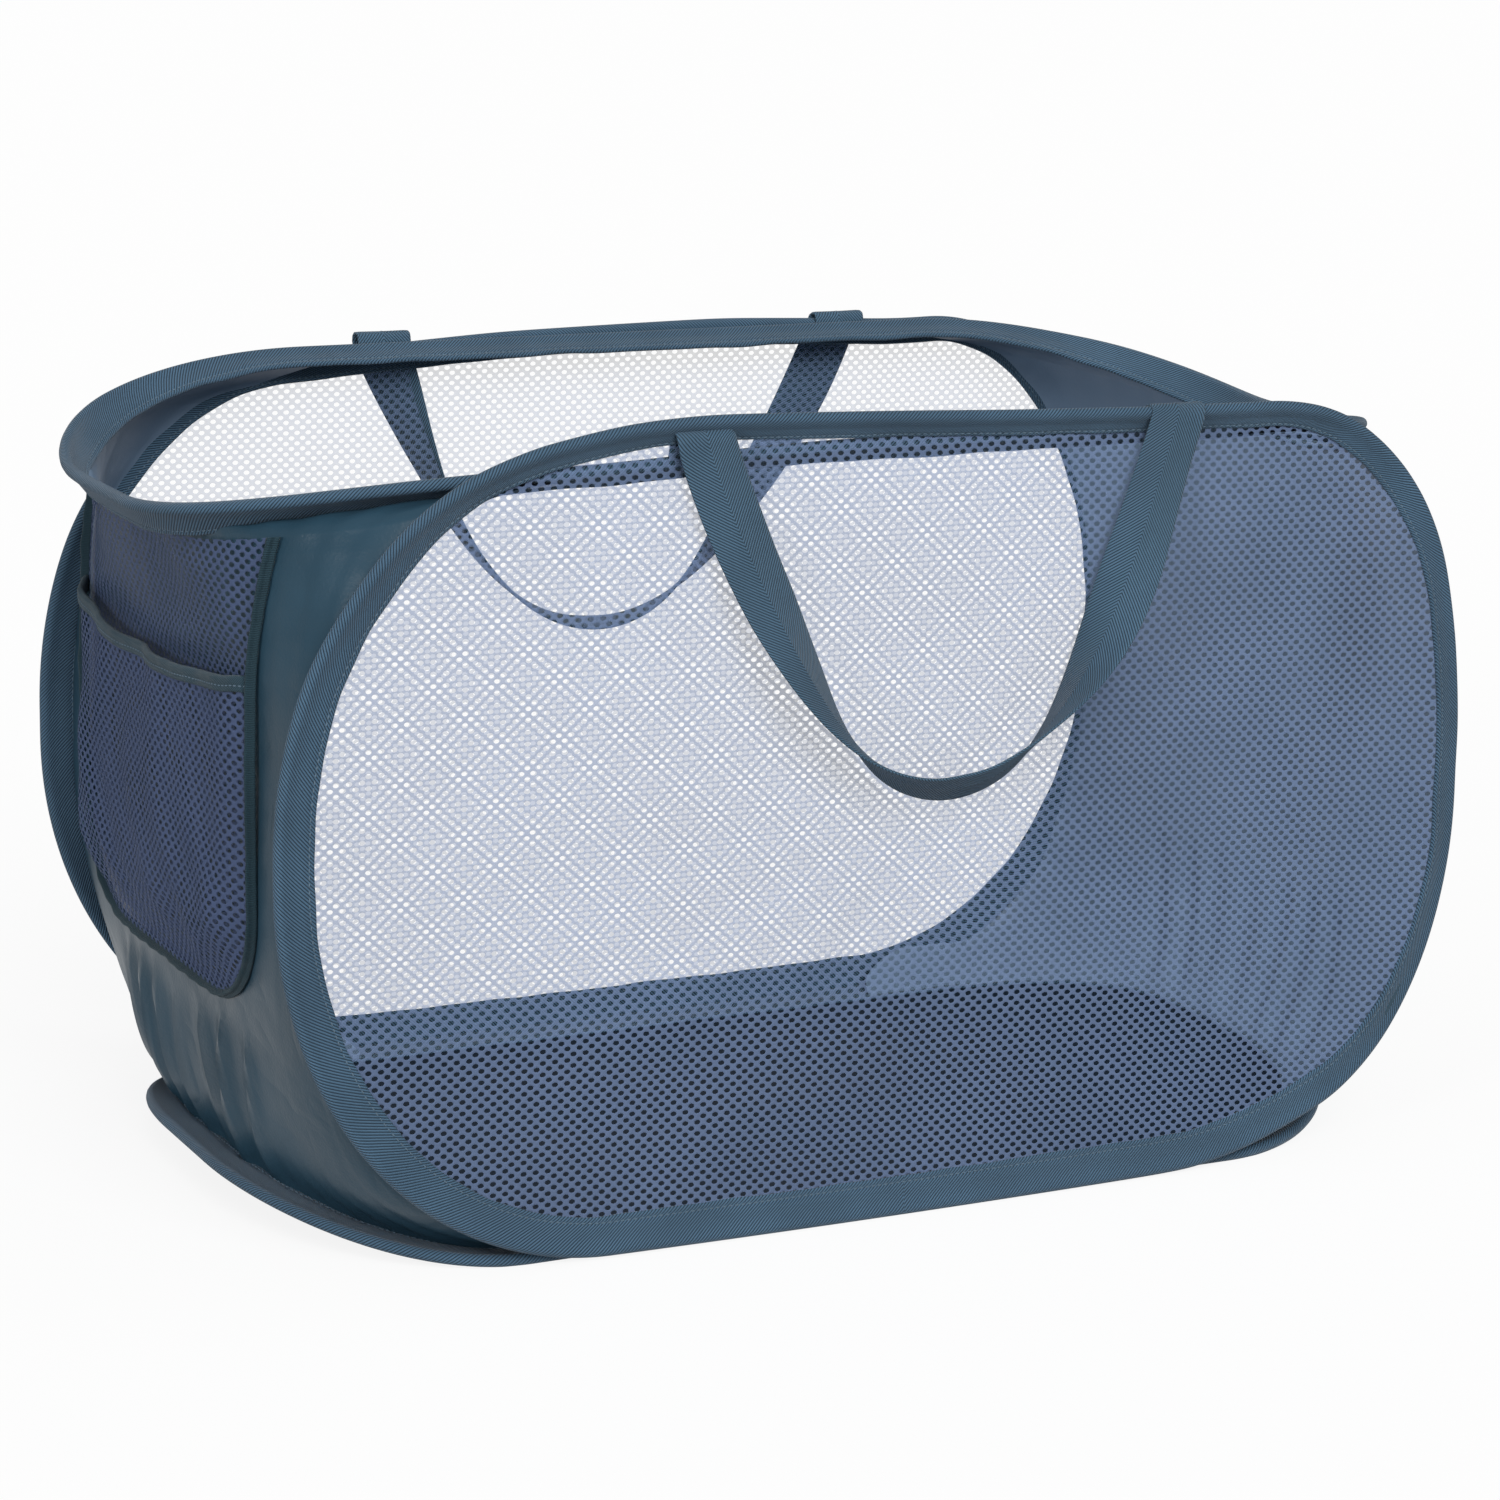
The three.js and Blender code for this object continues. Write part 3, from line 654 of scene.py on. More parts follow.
class StitchMaker:
    """Rows of stitches that follow paths on the tape and webbing."""

    THICKNESS = 0.0008
    LENGTH_SHARE = 0.74

    def __init__(self, material: bpy.types.Material) -> None:
        """Builds the tree once."""
        self.material = material
        self.group = self.build_tree()

    @staticmethod
    def build_tree() -> bpy.types.NodeTree:
        """Builds the tree: a path becomes evenly spaced, lengthwise ovals of thread."""
        group = bpy.data.node_groups.new("Stitch row", "GeometryNodeTree")
        face = group.interface
        face.new_socket("Geometry", in_out="INPUT", socket_type="NodeSocketGeometry")
        for label, default in (("Spacing", 0.0032), ("Length", 0.0024), ("Thickness", 0.0007)):
            face.new_socket(label, in_out="INPUT", socket_type="NodeSocketFloat").default_value = default
        face.new_socket("Thread", in_out="INPUT", socket_type="NodeSocketMaterial")
        face.new_socket("Geometry", in_out="OUTPUT", socket_type="NodeSocketGeometry")
        work = Tree(group)
        source = work.node("NodeGroupInput")
        curve = work.out("GeometryNodeMeshToCurve", {"Mesh": source.outputs["Geometry"]})
        feeds = {"Curve": curve, "Length": source.outputs["Spacing"]}
        spaced = work.out("GeometryNodeResampleCurve", feeds, mode="LENGTH")
        bead = work.out("GeometryNodeMeshIcoSphere", {"Radius": 0.5, "Subdivisions": 1})
        thick = source.outputs["Thickness"]
        size = work.out("ShaderNodeCombineXYZ", {0: thick, 1: thick, 2: source.outputs["Length"]})
        tangent = work.out("GeometryNodeInputTangent")
        aim = work.out("FunctionNodeAlignRotationToVector", {"Vector": tangent}, axis="Z")
        feeds = {"Points": spaced, "Instance": bead, "Rotation": aim, "Scale": size}
        real = work.out("GeometryNodeRealizeInstances", {0: work.out("GeometryNodeInstanceOnPoints", feeds)})
        dress = work.out("GeometryNodeSetMaterial", {"Geometry": real, "Material": source.outputs["Thread"]})
        work.node("NodeGroupOutput", {0: dress})
        return group

    def sew(self, name: str, paths: list[tuple[Array, bool]], spacing: float = 3.2) -> bpy.types.Object:
        """Sews stitches along paths.

        Args:
            name: The piece's name.
            paths: Each path's points in millimetres, and whether it is closed.
            spacing: The distance from one stitch to the next, in millimetres.

        Returns:
            One mesh object that holds all the stitches.
        """
        points, edges = [], []
        for path, closed in paths:
            start = len(points)
            points.extend((path * MM).tolist())
            edges.extend([(start + i, start + i + 1) for i in range(len(path) - 1)])
            if closed:
                edges.append((start + len(path) - 1, start))
        mesh = bpy.data.meshes.new(name + "_path")
        mesh.from_pydata(points, edges, [])
        guide = add_object(name + "_path", mesh)
        modifier = guide.modifiers.new("stitches", "NODES")
        modifier.node_group = self.group
        wanted = {
            "Spacing": spacing * MM,
            "Length": spacing * self.LENGTH_SHARE * MM,
            "Thickness": self.THICKNESS,
            "Thread": self.material,
        }
        for item in self.group.interface.items_tree:
            if item.in_out == "INPUT" and item.name in wanted:
                modifier[item.identifier] = wanted[item.name]
        graph = bpy.context.evaluated_depsgraph_get()
        made = bpy.data.meshes.new_from_object(guide.evaluated_get(graph), depsgraph=graph)
        guide.modifiers.clear()
        bpy.data.objects.remove(guide)
        made.name = name
        if not made.materials:
            made.materials.append(self.material)
        return add_object(name, made)


# Hoops.


@dataclass(frozen=True)
class Corner:
    """A rounded corner of a hoop, and the rise of the long edge beside it."""

    reach: float
    height: float
    bow: float = 0.0


class Plane(Enum):
    """How a hoop stands."""

    FLAT = 0
    FRONT = -1
    BACK = 1


@dataclass(frozen=True)
class Roll:
    """How far the tape leans about its wire at each side of its hoop, in degrees.

    Positive leans the flaps to the hamper's inside, and downwards on a level ring. Trims are the shares of
    the flaps' width that are turned out of sight.
    """

    top: float = 0.0
    left: float = 0.0
    right: float = 0.0
    near: float = 0.0
    far: float = 0.0
    ends: float = 0.0
    trim_top: float = 0.0
    trim_right: float = 0.0


@dataclass
class Hoop:
    """One closed wire hoop bound in folded tape.

    A level ring's left end rises by bend and its right end by far_bend. Its right end is drawn in by
    far_pull, and its long sides rise by near_rise and back_rise. An upright hoop's outline is pushed out by
    give, which lists pairs of a share of the way round and a push. A start and a run say where an effect
    begins and over what length it grows.
    """

    GIVE_POINTS = 900
    GIVE_PASSES = 60
    SIDE_START = 15.0
    SIDE_RUN = 110.0
    NEAR_START = -190.0
    NEAR_RUN = 160.0
    PULL_START = 120.0
    PULL_RUN = 200.0
    FLOOR_GAP = 0.08
    FLAP_START = 5.0
    FLAP_RUN = 11.0
    EDGE_WAVE = 0.55
    FACE_WAVE = 0.6
    FACE_WAVES = (13, 23, 41)
    ROW_INSET = 13.4
    ROW_LIFT = 1.12

    name: str
    body: str
    plane: Plane
    half_length: float
    low: float
    high: float
    upper: Corner
    lower: Corner
    level: float
    roll: Roll
    bend: float = 0.0
    far_bend: float = 0.0
    far_pull: float = 0.0
    back_rise: float = 0.0
    near_rise: float = 0.0
    give: tuple[tuple[float, float], ...] = ()
    wire_tube: float = 2.9
    wire_radius: float = 1.0
    crimp_radius: float = 1.7
    crimp_length: float = 15.0
    tape_reach: float = 16.3
    step: float = 3.0
    phase: float = 0.0
    outline: Array = field(init=False)

    def __post_init__(self) -> None:
        """Works out the hoop's outline and directions."""
        self.outline = self.loop(int(round(self.perimeter() / self.step)))
        self.measure()

    def dense(self) -> Array:
        """Gives the loop's flat outline as many close points, from the upper right corner round."""
        parts = []
        corners = ((self.upper, 1, 1), (self.upper, -1, 1), (self.lower, -1, -1), (self.lower, 1, -1))
        for corner, sx, sy in corners:
            edge = self.high - corner.bow if sy > 0 else self.low + corner.bow
            cx, cy = sx * (self.half_length - corner.reach), edge - sy * corner.height
            turn = np.linspace(0.0, QUARTER, 60)
            turn = turn if sx * sy > 0 else turn[::-1]
            across, up = corner.reach * np.cos(turn), corner.height * np.sin(turn)
            parts.append(np.stack([cx + sx * across, cy + sy * up], 1))
            if corner.bow > 0 and sx * sy > 0:
                share = np.linspace(1.0, -1.0, 42)[1:-1]
                parts.append(np.stack([share * cx, edge + sy * corner.bow * (1 - share**2)], 1))
        loop = np.vstack(parts)
        if self.give:
            loop = resample(loop, self.GIVE_POINTS, True)
            marks = np.array(self.give)
            round_share = np.arange(self.GIVE_POINTS) / self.GIVE_POINTS
            push = np.interp(round_share, marks[:, 0], marks[:, 1], period=1.0)
            push = softened(push, self.GIVE_PASSES, closed=True)
            way = unit(np.roll(loop, -1, 0) - np.roll(loop, 1, 0))
            loop = loop + np.stack([way[:, 1], -way[:, 0]], 1) * push[:, None]
            loop[:, 1] = np.maximum(loop[:, 1], self.low)
        return loop

    def perimeter(self) -> float:
        """Gives the length of wire in the loop."""
        return float(arc_lengths(self.dense(), True)[-1])

    def loop(self, count: int) -> Array:
        """Gives evenly spaced points of the flat outline, starting at the hidden middle of an edge."""
        points = resample(self.dense(), count, True)
        hidden = (0.0, self.high) if self.plane is Plane.FLAT else (0.0, self.low)
        start = int(np.argmin(np.linalg.norm(points - np.array(hidden), axis=1)))
        return np.roll(points, -start, axis=0)

    def lifted(self, flat: Array) -> Array:
        """Stands flat points up in the hoop's own place."""
        x, y = flat[:, 0], flat[:, 1]
        if self.plane is Plane.FLAT:
            past = np.maximum(0.0, (np.abs(x) - self.half_length + self.upper.reach) / self.upper.reach)
            bend = np.where(x > 0, self.far_bend, self.bend)
            z = self.level + bend * past**2 + self.back_rise * smooth((y - self.SIDE_START) / self.SIDE_RUN)
            near = smooth((-y - self.SIDE_START) / self.SIDE_RUN)
            z += self.near_rise * near * smooth((x - self.NEAR_START) / self.NEAR_RUN)
            return np.stack([x - self.far_pull * smooth((x - self.PULL_START) / self.PULL_RUN), y, z], 1)
        return np.stack([x, np.full(len(flat), self.level * self.plane.value), y], 1)

    def measure(self) -> None:
        """Finds each point's directions along, inwards and off the hoop, and the tape's lean there."""
        ahead, behind = np.roll(self.outline, -1, 0), np.roll(self.outline, 1, 0)
        way = unit(ahead - behind)
        inward = np.stack([-way[:, 1], way[:, 0]], 1)
        self.wire = self.lifted(self.outline)
        self.along = arc_lengths(self.wire, True)
        zeros = np.zeros(len(inward))
        if self.plane is Plane.FLAT:
            self.inward = np.stack([inward[:, 0], inward[:, 1], zeros], 1)
            tangent = unit(np.roll(self.wire, -1, 0) - np.roll(self.wire, 1, 0))
            self.lift = unit(np.cross(tangent, self.inward))
            self.lift *= np.sign(self.lift[:, 2:3])
            sides = self.roll.near + (self.roll.far - self.roll.near) * smooth(0.5 - 0.5 * inward[:, 1])
            lean = sides + (self.roll.ends - sides) * inward[:, 0] ** 2
            self.trim = zeros
        else:
            self.inward = np.stack([inward[:, 0], zeros, inward[:, 1]], 1)
            self.lift = np.tile([0.0, float(self.plane.value), 0.0], (len(inward), 1))
            lean = self.roll.top * np.maximum(0.0, -inward[:, 1]) ** 2
            lean += self.roll.left * np.maximum(0.0, inward[:, 0]) ** 2
            lean += self.roll.right * np.maximum(0.0, -inward[:, 0]) ** 2
            self.trim = self.roll.trim_top * np.maximum(0.0, -inward[:, 1]) ** 2
            self.trim += self.roll.trim_right * np.maximum(0.0, -inward[:, 0]) ** 2
        self.lean = np.radians(lean)

    def directions(self) -> tuple[Array, Array]:
        """Gives the directions along the flaps and off their faces, with the tape's lean."""
        c, s = np.cos(self.lean)[:, None], np.sin(self.lean)[:, None]
        return c * self.inward - s * self.lift, s * self.inward + c * self.lift

    def at(self, inset: float | Array, lift: float | Array) -> Array:
        """Gives the points of the tape at an inset from the wire and a lift off the flaps' middle."""
        reach, off = self.directions()
        count = len(self.wire)
        inset = np.broadcast_to(np.asarray(inset, dtype=float), (count,))
        inset = (inset - self.trim * np.maximum(0.0, inset - self.wire_tube))[:, None]
        lift = np.broadcast_to(np.asarray(lift, dtype=float), (count,))[:, None]
        return self.grounded(self.wire + reach * inset + off * lift)

    def grounded(self, points: Array) -> Array:
        """Keeps points just above the floor, where the tape is pressed flat."""
        points[:, 2] = np.maximum(points[:, 2], self.FLOOR_GAP)
        return points

    def uneven(self, counts: tuple[int, ...], shift: float) -> Array:
        """Gives slow waves along the tape that fit round the hoop."""
        return waves(self.along[:-1], self.along[-1], counts, self.phase + shift)

    def section(self) -> list[tuple[float, float]]:
        """Gives the folded tape's section: a nose round the wire and two flaps with rolled edges."""
        upper = [(16.1, 0.85), (15.6, 1.2), (14.3, 1.25), (13.4, 0.95), (12.5, 1.3), (10.0, 1.4), (7.0, 1.45)]
        upper += [(5.0, 1.65), (3.2, 2.1)]
        nose = []
        for degrees in np.linspace(62.0, 298.0, 11):
            turn = math.radians(float(degrees))
            nose.append((self.wire_tube * math.cos(turn), self.wire_tube * math.sin(turn)))
        lower = [(a, -b) for a, b in reversed(upper)]
        return [(self.tape_reach, 0.0), *upper, *nose, *lower]

    def tape(self, material: bpy.types.Material) -> bpy.types.Object:
        """Builds the folded tape with its slightly uneven edge."""
        edge = self.uneven((9, 17, 31, 58), 0.0)
        ripple = self.uneven(self.FACE_WAVES, 2.0)
        columns = []
        for a, b in self.section():
            share = max(0.0, (a - self.FLAP_START) / self.FLAP_RUN)
            inset, lift = a + self.EDGE_WAVE * edge * share, b + self.FACE_WAVE * ripple * share**2
            columns.append(self.at(inset, lift))
        sections = np.stack(columns, axis=1)
        return swept_piece(f"{self.name}_tape", sections, True, material)

    def steel(self, finishes: Finishes) -> None:
        """Builds the spring wire inside the tape, and the crimped sleeve over its joint."""
        turn = np.linspace(0.0, 2 * math.pi, 8, endpoint=False)
        for part, radius in (("wire", self.wire_radius), ("crimp", self.crimp_radius)):
            columns = [self.at(radius * math.cos(a), radius * math.sin(a)) for a in turn]
            sections = np.stack(columns, axis=1)
            if part == "crimp":
                sections = sections[: int(round(self.crimp_length / self.step)) + 1]
            piece = swept_piece(f"{self.name}_spring_{part}", sections, part == "wire", finishes.steel)
            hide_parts(f"{self.name}_hoop_{part}")
            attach(piece, self.body)

    def build(self, finishes: Finishes, stitches: StitchMaker) -> bpy.types.Object:
        """Builds the tape and its two stitch rows, which ride with the hoop."""
        self.steel(finishes)
        tape = self.tape(finishes.tape)
        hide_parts(f"{self.name}_binding")
        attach(tape, self.body)
        share = (self.ROW_INSET - self.FLAP_START) / self.FLAP_RUN
        ripple = self.FACE_WAVE * self.uneven(self.FACE_WAVES, 2.0) * share**2
        rows = [(self.at(self.ROW_INSET, lift + ripple), True) for lift in (self.ROW_LIFT, -self.ROW_LIFT)]
        thread = stitches.sew(f"{self.name}_tape_stitches", rows)
        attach(thread, self.body)
        LOG.info("%s: %d points along, %.0f mm of wire", tape.name, len(self.wire), self.along[-1])
        return tape


class TurnedHoop:
    """A hoop seen from the hamper's other end: turned half round about the upright axis."""

    def __init__(self, hoop: Hoop) -> None:
        """Keeps the hoop to turn."""
        self.hoop = hoop

    def at(self, inset: float, lift: float) -> Array:
        """Gives the turned points of the tape."""
        return self.hoop.at(inset, lift) * np.array([-1.0, -1.0, 1.0])

    def __getattr__(self, name: str) -> object:
        """Gives the hoop's own sizes."""
        return getattr(self.hoop, name)


# Panels that fill a hoop.


@dataclass
class HoopPanel:
    """Net or cloth that fills a hoop from its tape's inner edge to its middle."""

    FLOOR_GAP = 0.25

    name: str
    node: str
    hoop: Hoop
    slot: str
    inset: float = 14.6
    rings: int = 40
    spokes: int = 288
    sag: float = 0.0
    ripple: float = 0.0
    rest_height: float | None = None
    flat: tuple[float, float] = (0.6, 0.36)
    held: str = "stretched"

    def facing(self) -> Array:
        """Gives the direction off the panel: up, or out of the hamper's side."""
        if self.hoop.plane is Plane.FLAT:
            return np.array([0.0, 0.0, 1.0])
        return np.array([0.0, float(self.hoop.plane.value), 0.0])

    def middle(self) -> Array:
        """Gives the panel's middle point before it sags."""
        if self.hoop.plane is Plane.FLAT:
            return np.array([0.0, 0.0, self.hoop.level if self.rest_height is None else self.rest_height])
        return np.array([0.0, float(self.hoop.wire[:, 1].mean()), (self.hoop.low + self.hoop.high) / 2])

    def points(self) -> tuple[Array, Array]:
        """Gives the panel's rings of points from the edge inwards, and its middle point."""
        edge = resample(self.hoop.at(self.inset, 0.0), self.spokes, True)
        off, middle = self.facing(), self.middle()
        level = float(np.dot(middle, off))
        turn = np.arange(self.spokes) / self.spokes * 2 * math.pi
        flattening = 10 if self.hoop.plane is Plane.FLAT else 7
        rings = []
        for k in range(self.rings):
            share = 1.0 - k / self.rings
            ring = middle + (edge - middle) * share
            height = level + (edge @ off - level) * share**flattening
            wave = np.sin(7 * turn + 4 * share) + 0.6 * np.sin(16 * turn - 5 * share)
            height = height + self.ripple * share * (1 - share) * 4 * wave / 1.6
            height = height - self.sag * (1 - share * share)
            rings.append(ring + np.outer(height - ring @ off, off))
        return np.stack(rings), middle - off * self.sag

    def build(self, material: bpy.types.Material) -> bpy.types.Object:
        rings, middle = self.points()
        if self.rest_height is not None:
            rings[..., 2] = np.maximum(rings[..., 2], self.FLOOR_GAP)
        faces = Grid(rings, wrap_columns=True).faces()
        last = (self.rings - 1) * self.spokes
        centre = self.rings * self.spokes
        for j in range(self.spokes):
            faces.append((last + j, centre, last + (j + 1) % self.spokes))
        points = np.vstack([rings.reshape(-1, 3), middle[None]])
        first = faces[0]
        normal = np.cross(points[first[1]] - points[first[0]], points[first[3]] - points[first[0]])
        if float(normal @ self.facing()) < 0:
            faces = [tuple(reversed(face)) for face in faces]
        piece = make_piece(self.name, points, faces, material, outward=False)
        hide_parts(self.node)
        self.slot
        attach(piece, self.hoop.body)
        self.flat
        self.held
        f"{self.hoop.name}_tape"
        LOG.info("%s: %d points", piece.name, len(points))
        return piece


# End walls.


@dataclass
class EndWall:
    """The cloth end between the two rings and the two side hoops, on the -X end or turned to the +X end.

    Each pleat is its place across the end 100 mm up, its place 25 mm up, and its height. Cuts are the shares
    of the wall's height at which it is cut into bands.
    """

    SEAM = 14.9
    EDGE_SHARE = 10.0
    PLEAT_TOP = 100.0
    PLEAT_RUN = 75.0

    base: Hoop | TurnedHoop
    top: Hoop | TurnedHoop
    front: Hoop | TurnedHoop
    back: Hoop | TurnedHoop
    inset: float = 15.0
    bulge: float = 6.0
    columns: int = 96
    rows: int = 90
    hem: float = 2.45
    side_face: float = 1.85
    pleats: tuple[tuple[float, float, float], ...] = (
        (84, 88, 4.0), (62, 55, 5.0), (38, 30, 4.0), (5, 8, 4.6), (-26, -22, 3.4), (-54, -40, 5.0),
        (-84, -66, 3.0),
    )
    cuts: tuple[float, ...] = (0.06, 0.22, 0.5, 0.78, 0.94)
    lean_low: float = -0.18
    lean_high: float = 0.2
    turning_x: float = 293.0
    surface: Array = field(init=False)

    def __post_init__(self) -> None:
        """Lays out the wall's surface once."""
        self.s = np.linspace(-1.0, 1.0, self.columns + 1)
        self.t = np.linspace(0.0, 1.0, self.rows + 1)
        self.plain = np.array([[self.plain_point(float(s), float(t)) for s in self.s] for t in self.t])
        self.surface = self.plain + self.edge_pull(self.plain)

    def ring_end(self, ring: Hoop, s: float) -> Array:
        """Gives the ring's inner edge at share s of the way round its end."""
        rx, ry = ring.upper.reach, ring.upper.height
        straight, end = 1.0 / 13.0, 0.95
        reach = abs(s)
        turn = QUARTER * min(1.0, max(0.0, (reach - straight) / (end - straight)))
        y = (ring.high - ry) * min(1.0, reach / straight) + (ry - self.inset) * math.sin(turn)
        side = self.front.half_length - (self.front.lower if ring is self.base else self.front.upper).reach
        past = max(3.0, ring.half_length - rx - side) * max(0.0, (reach - end) / (1.0 - end))
        x = ring.half_length - rx + (rx - self.inset) * math.cos(turn) - past
        return np.array([x, -y if s < 0 else y])

    def plain_point(self, s: float, t: float) -> Array:
        """Gives the wall's plain surface: s runs round the end, t from the floor to the top ring."""
        low = t < 0.5
        ring = self.base if low else self.top
        corner = self.front.lower if low else self.front.upper
        turn = abs(1.0 - 2.0 * t) * QUARTER
        hold = min(1.0, min(t, 1.0 - t) * self.EDGE_SHARE)
        ring_point = self.ring_end(ring, s)
        ring_x = self.ring_end(ring, 1.0)[0]
        curve_x = self.front.half_length - corner.reach + (corner.reach - self.inset) * math.cos(turn)
        rise = (corner.height - self.inset) * math.sin(turn)
        inward = corner.bow + corner.height
        centre_z = self.front.low + inward if low else self.front.high - inward
        middle_z = (self.front.low + self.front.high) / 2
        curve_z = centre_z + (middle_z - centre_z) * math.cos(turn) + (-rise if low else rise)
        edge_x = ring_x + (curve_x - ring_x) * hold
        wall_x = self.front.half_length - self.inset
        share = (edge_x - ring_x) / (wall_x - ring_x)
        middle_x = wall_x + self.bulge * (1.0 - s * s)
        edge_y = self.front.level - self.side_face
        spread = 1.0 + (edge_y / (ring.high - self.inset) - 1.0) * hold
        ring_z = self.base.level + self.hem if low else self.top.level - self.hem
        past = max(0.0, (abs(ring_point[0]) - ring.half_length + ring.upper.reach) / ring.upper.reach)
        bend = ring.bend * past * past
        return np.array(
            [
                -(ring_point[0] + (middle_x - ring_point[0]) * share),
                ring_point[1] * spread,
                ring_z + (curve_z - ring_z) * hold + bend * (1.0 - share),
            ]
        )

    @staticmethod
    def nearest(curve: Array, points: Array) -> Array:
        """Gives the nearest point of a curve to each point."""
        gaps = np.linalg.norm(points[:, None] - curve[None], axis=2)
        return curve[np.argmin(gaps, axis=1)]

    def edge_pull(self, plain: Array) -> Array:
        """Draws the wall's four edges to the inner edges of the tapes, fading towards its middle."""
        bottom = self.nearest(self.base.at(self.SEAM, 0.0), plain[0]) - plain[0]
        top = self.nearest(self.top.at(self.SEAM, 0.0), plain[-1]) - plain[-1]
        hold = np.minimum(1.0, np.minimum(self.t, 1.0 - self.t) * self.EDGE_SHARE)[:, None]
        sides = []
        for column, hoop in ((0, self.front), (-1, self.back)):
            pull = self.nearest(hoop.at(self.SEAM, 0.0), plain[:, column]) - plain[:, column]
            corner = np.where(self.t[:, None] < 0.5, bottom[column], top[column])
            sides.append(pull * hold + corner * (1.0 - hold))
        up = (self.t**5)[:, None, None]
        down = ((1.0 - self.t) ** 5)[:, None, None]
        near = (((1.0 - self.s) / 2) ** 5)[None, :, None]
        far = (((1.0 + self.s) / 2) ** 5)[None, :, None]
        pull = down * bottom[None] + up * top[None] + near * sides[0][:, None] + far * sides[1][:, None]
        pull -= down * near * bottom[0] + down * far * bottom[-1] + up * near * top[0] + up * far * top[-1]
        return pull

    def shares(self, y: Array, z: Array) -> tuple[Array, Array]:
        """Gives the surface shares of points given by their place across the end and their edge height."""
        t = np.interp(z, self.plain[:, -1, 2], self.t)
        row = t * self.rows
        low = np.clip(np.floor(row).astype(int), 0, self.rows - 1)
        part = row - low
        s = np.empty_like(t)
        for k in range(len(t)):
            line = self.plain[low[k], :, 1] * (1 - part[k]) + self.plain[low[k] + 1, :, 1] * part[k]
            s[k] = np.interp(y[k], line, self.s)
        return s, t

    def look_up(self, table: Array, s: Array, t: Array) -> Array:
        """Reads a table over the wall's grid at given shares."""
        column = np.clip((s + 1) / 2 * self.columns, 0, self.columns - 1e-6)
        row = np.clip(t * self.rows, 0, self.rows - 1e-6)
        i, j = row.astype(int), column.astype(int)
        a, b = (row - i)[:, None], (column - j)[:, None]
        low = table[i, j] * (1 - b) + table[i, j + 1] * b
        high = table[i + 1, j] * (1 - b) + table[i + 1, j + 1] * b
        return low * (1 - a) + high * a

    def normals(self, points: Array) -> Array:
        """Gives the outward directions of a grid of wall points."""
        up = np.gradient(points, axis=0)
        along = np.gradient(points, axis=1)
        return unit(np.cross(up, along))

    def on_wall(self, y: Array, z: Array, lift: Array | float) -> Array:
        """Gives points that stand off the wall by a lift."""
        s, t = self.shares(np.asarray(y, float), np.asarray(z, float))
        normal = unit(self.look_up(self.normals(self.surface), s, t))
        return self.look_up(self.surface, s, t) + normal * np.reshape(np.asarray(lift, float), (-1, 1))

    def pleated(self, y: Array, z: Array) -> Array:
        """Gives the push of the pleats above the base ring, each a ridge with a shallow ditch beside it."""
        share = np.clip((self.PLEAT_TOP - z) / self.PLEAT_RUN, 0.0, 1.0)
        width = 4.0 + 3.0 * share
        keep = smooth((106.0 - z) / 24.0) * smooth((z - 14.0) / 18.0)
        push = np.zeros_like(y)
        for high_y, low_y, height in self.pleats:
            gap = (y - (high_y + (low_y - high_y) * share)) / width
            push += height * np.exp(-(gap**2)) * keep
            push -= 0.35 * height * np.exp(-((gap - 2.0) ** 2)) * keep
        return push

    def folded(self, phase: float) -> Array:
        """Adds pleats, gathers at the seams and soft waves to the surface."""
        s, t = np.meshgrid(self.s, self.t)
        y, z = self.surface[..., 1], self.surface[..., 2]
        inner = np.minimum(1.0, (1 - np.abs(s)) * 6)
        push = self.pleated(y, z)
        gather = np.exp(-(t * self.rows / 7.0)) * (0.9 + 0.4 * np.sin(y / 37 + phase))
        push += gather * np.sin(y / 2.3 + 1.4 * np.sin(y / 19 + phase)) * smooth(t * 24)
        near_top = np.exp(-((1 - t) * self.rows / 8.0)) * smooth((1 - t) * 22)
        push += 0.7 * near_top * np.sin(y / 2.9 + 1.8 * np.sin(y / 23 - phase))
        middle = smooth(t * 5) * smooth((1 - t) * 5)
        push += 1.3 * np.sin(y / 27 + z / 61 + phase) * np.sin(z / 43 - y / 90 + phase) * middle
        near_side = np.exp(-((1 - np.abs(s)) * 14)) * smooth((1 - np.abs(s)) * 30)
        push += 0.7 * near_side * np.sin(z / 3.4 + 1.6 * np.sin(z / 25 + phase))
        return self.surface + self.normals(self.surface) * (push * inner)[..., None]

    def follow(
        self, shares: tuple[float, float], edges: tuple[float, float], upper: bool, turn: float
    ) -> dict[str, tuple[float, ...]]:
        """Gives the blend's two ends for a band that moves by given shares at its two edges.

        Args:
            shares: How far the band's low and high edges move with the top ring.
            edges: The places of its low and high edges along the blend, in millimetres.
            upper: Whether the band is in the wall's upper half, which leans the other way.
            turn: 1 for the left end and -1 for the right end.

        Returns:
            The blend's start and end, in metres.
        """

        def ease_back(value: float) -> float:
            """The share whose eased value this is."""
            return 0.5 - math.sin(math.asin(1.0 - 2.0 * value) / 3.0)

        t_low, t_high = ease_back(shares[0]), ease_back(shares[1])
        reach = (edges[1] - edges[0]) / (t_high - t_low)
        start = edges[0] - t_low * reach
        slope = self.lean_high if upper else self.lean_low
        way = np.array([-slope * turn, 0.0, 1.0])
        first = np.array([-self.turning_x * turn, 0.0, start])
        last = first + way * reach / float(way @ way)
        return {"start": tuple(first * MM), "end": tuple(last * MM)}

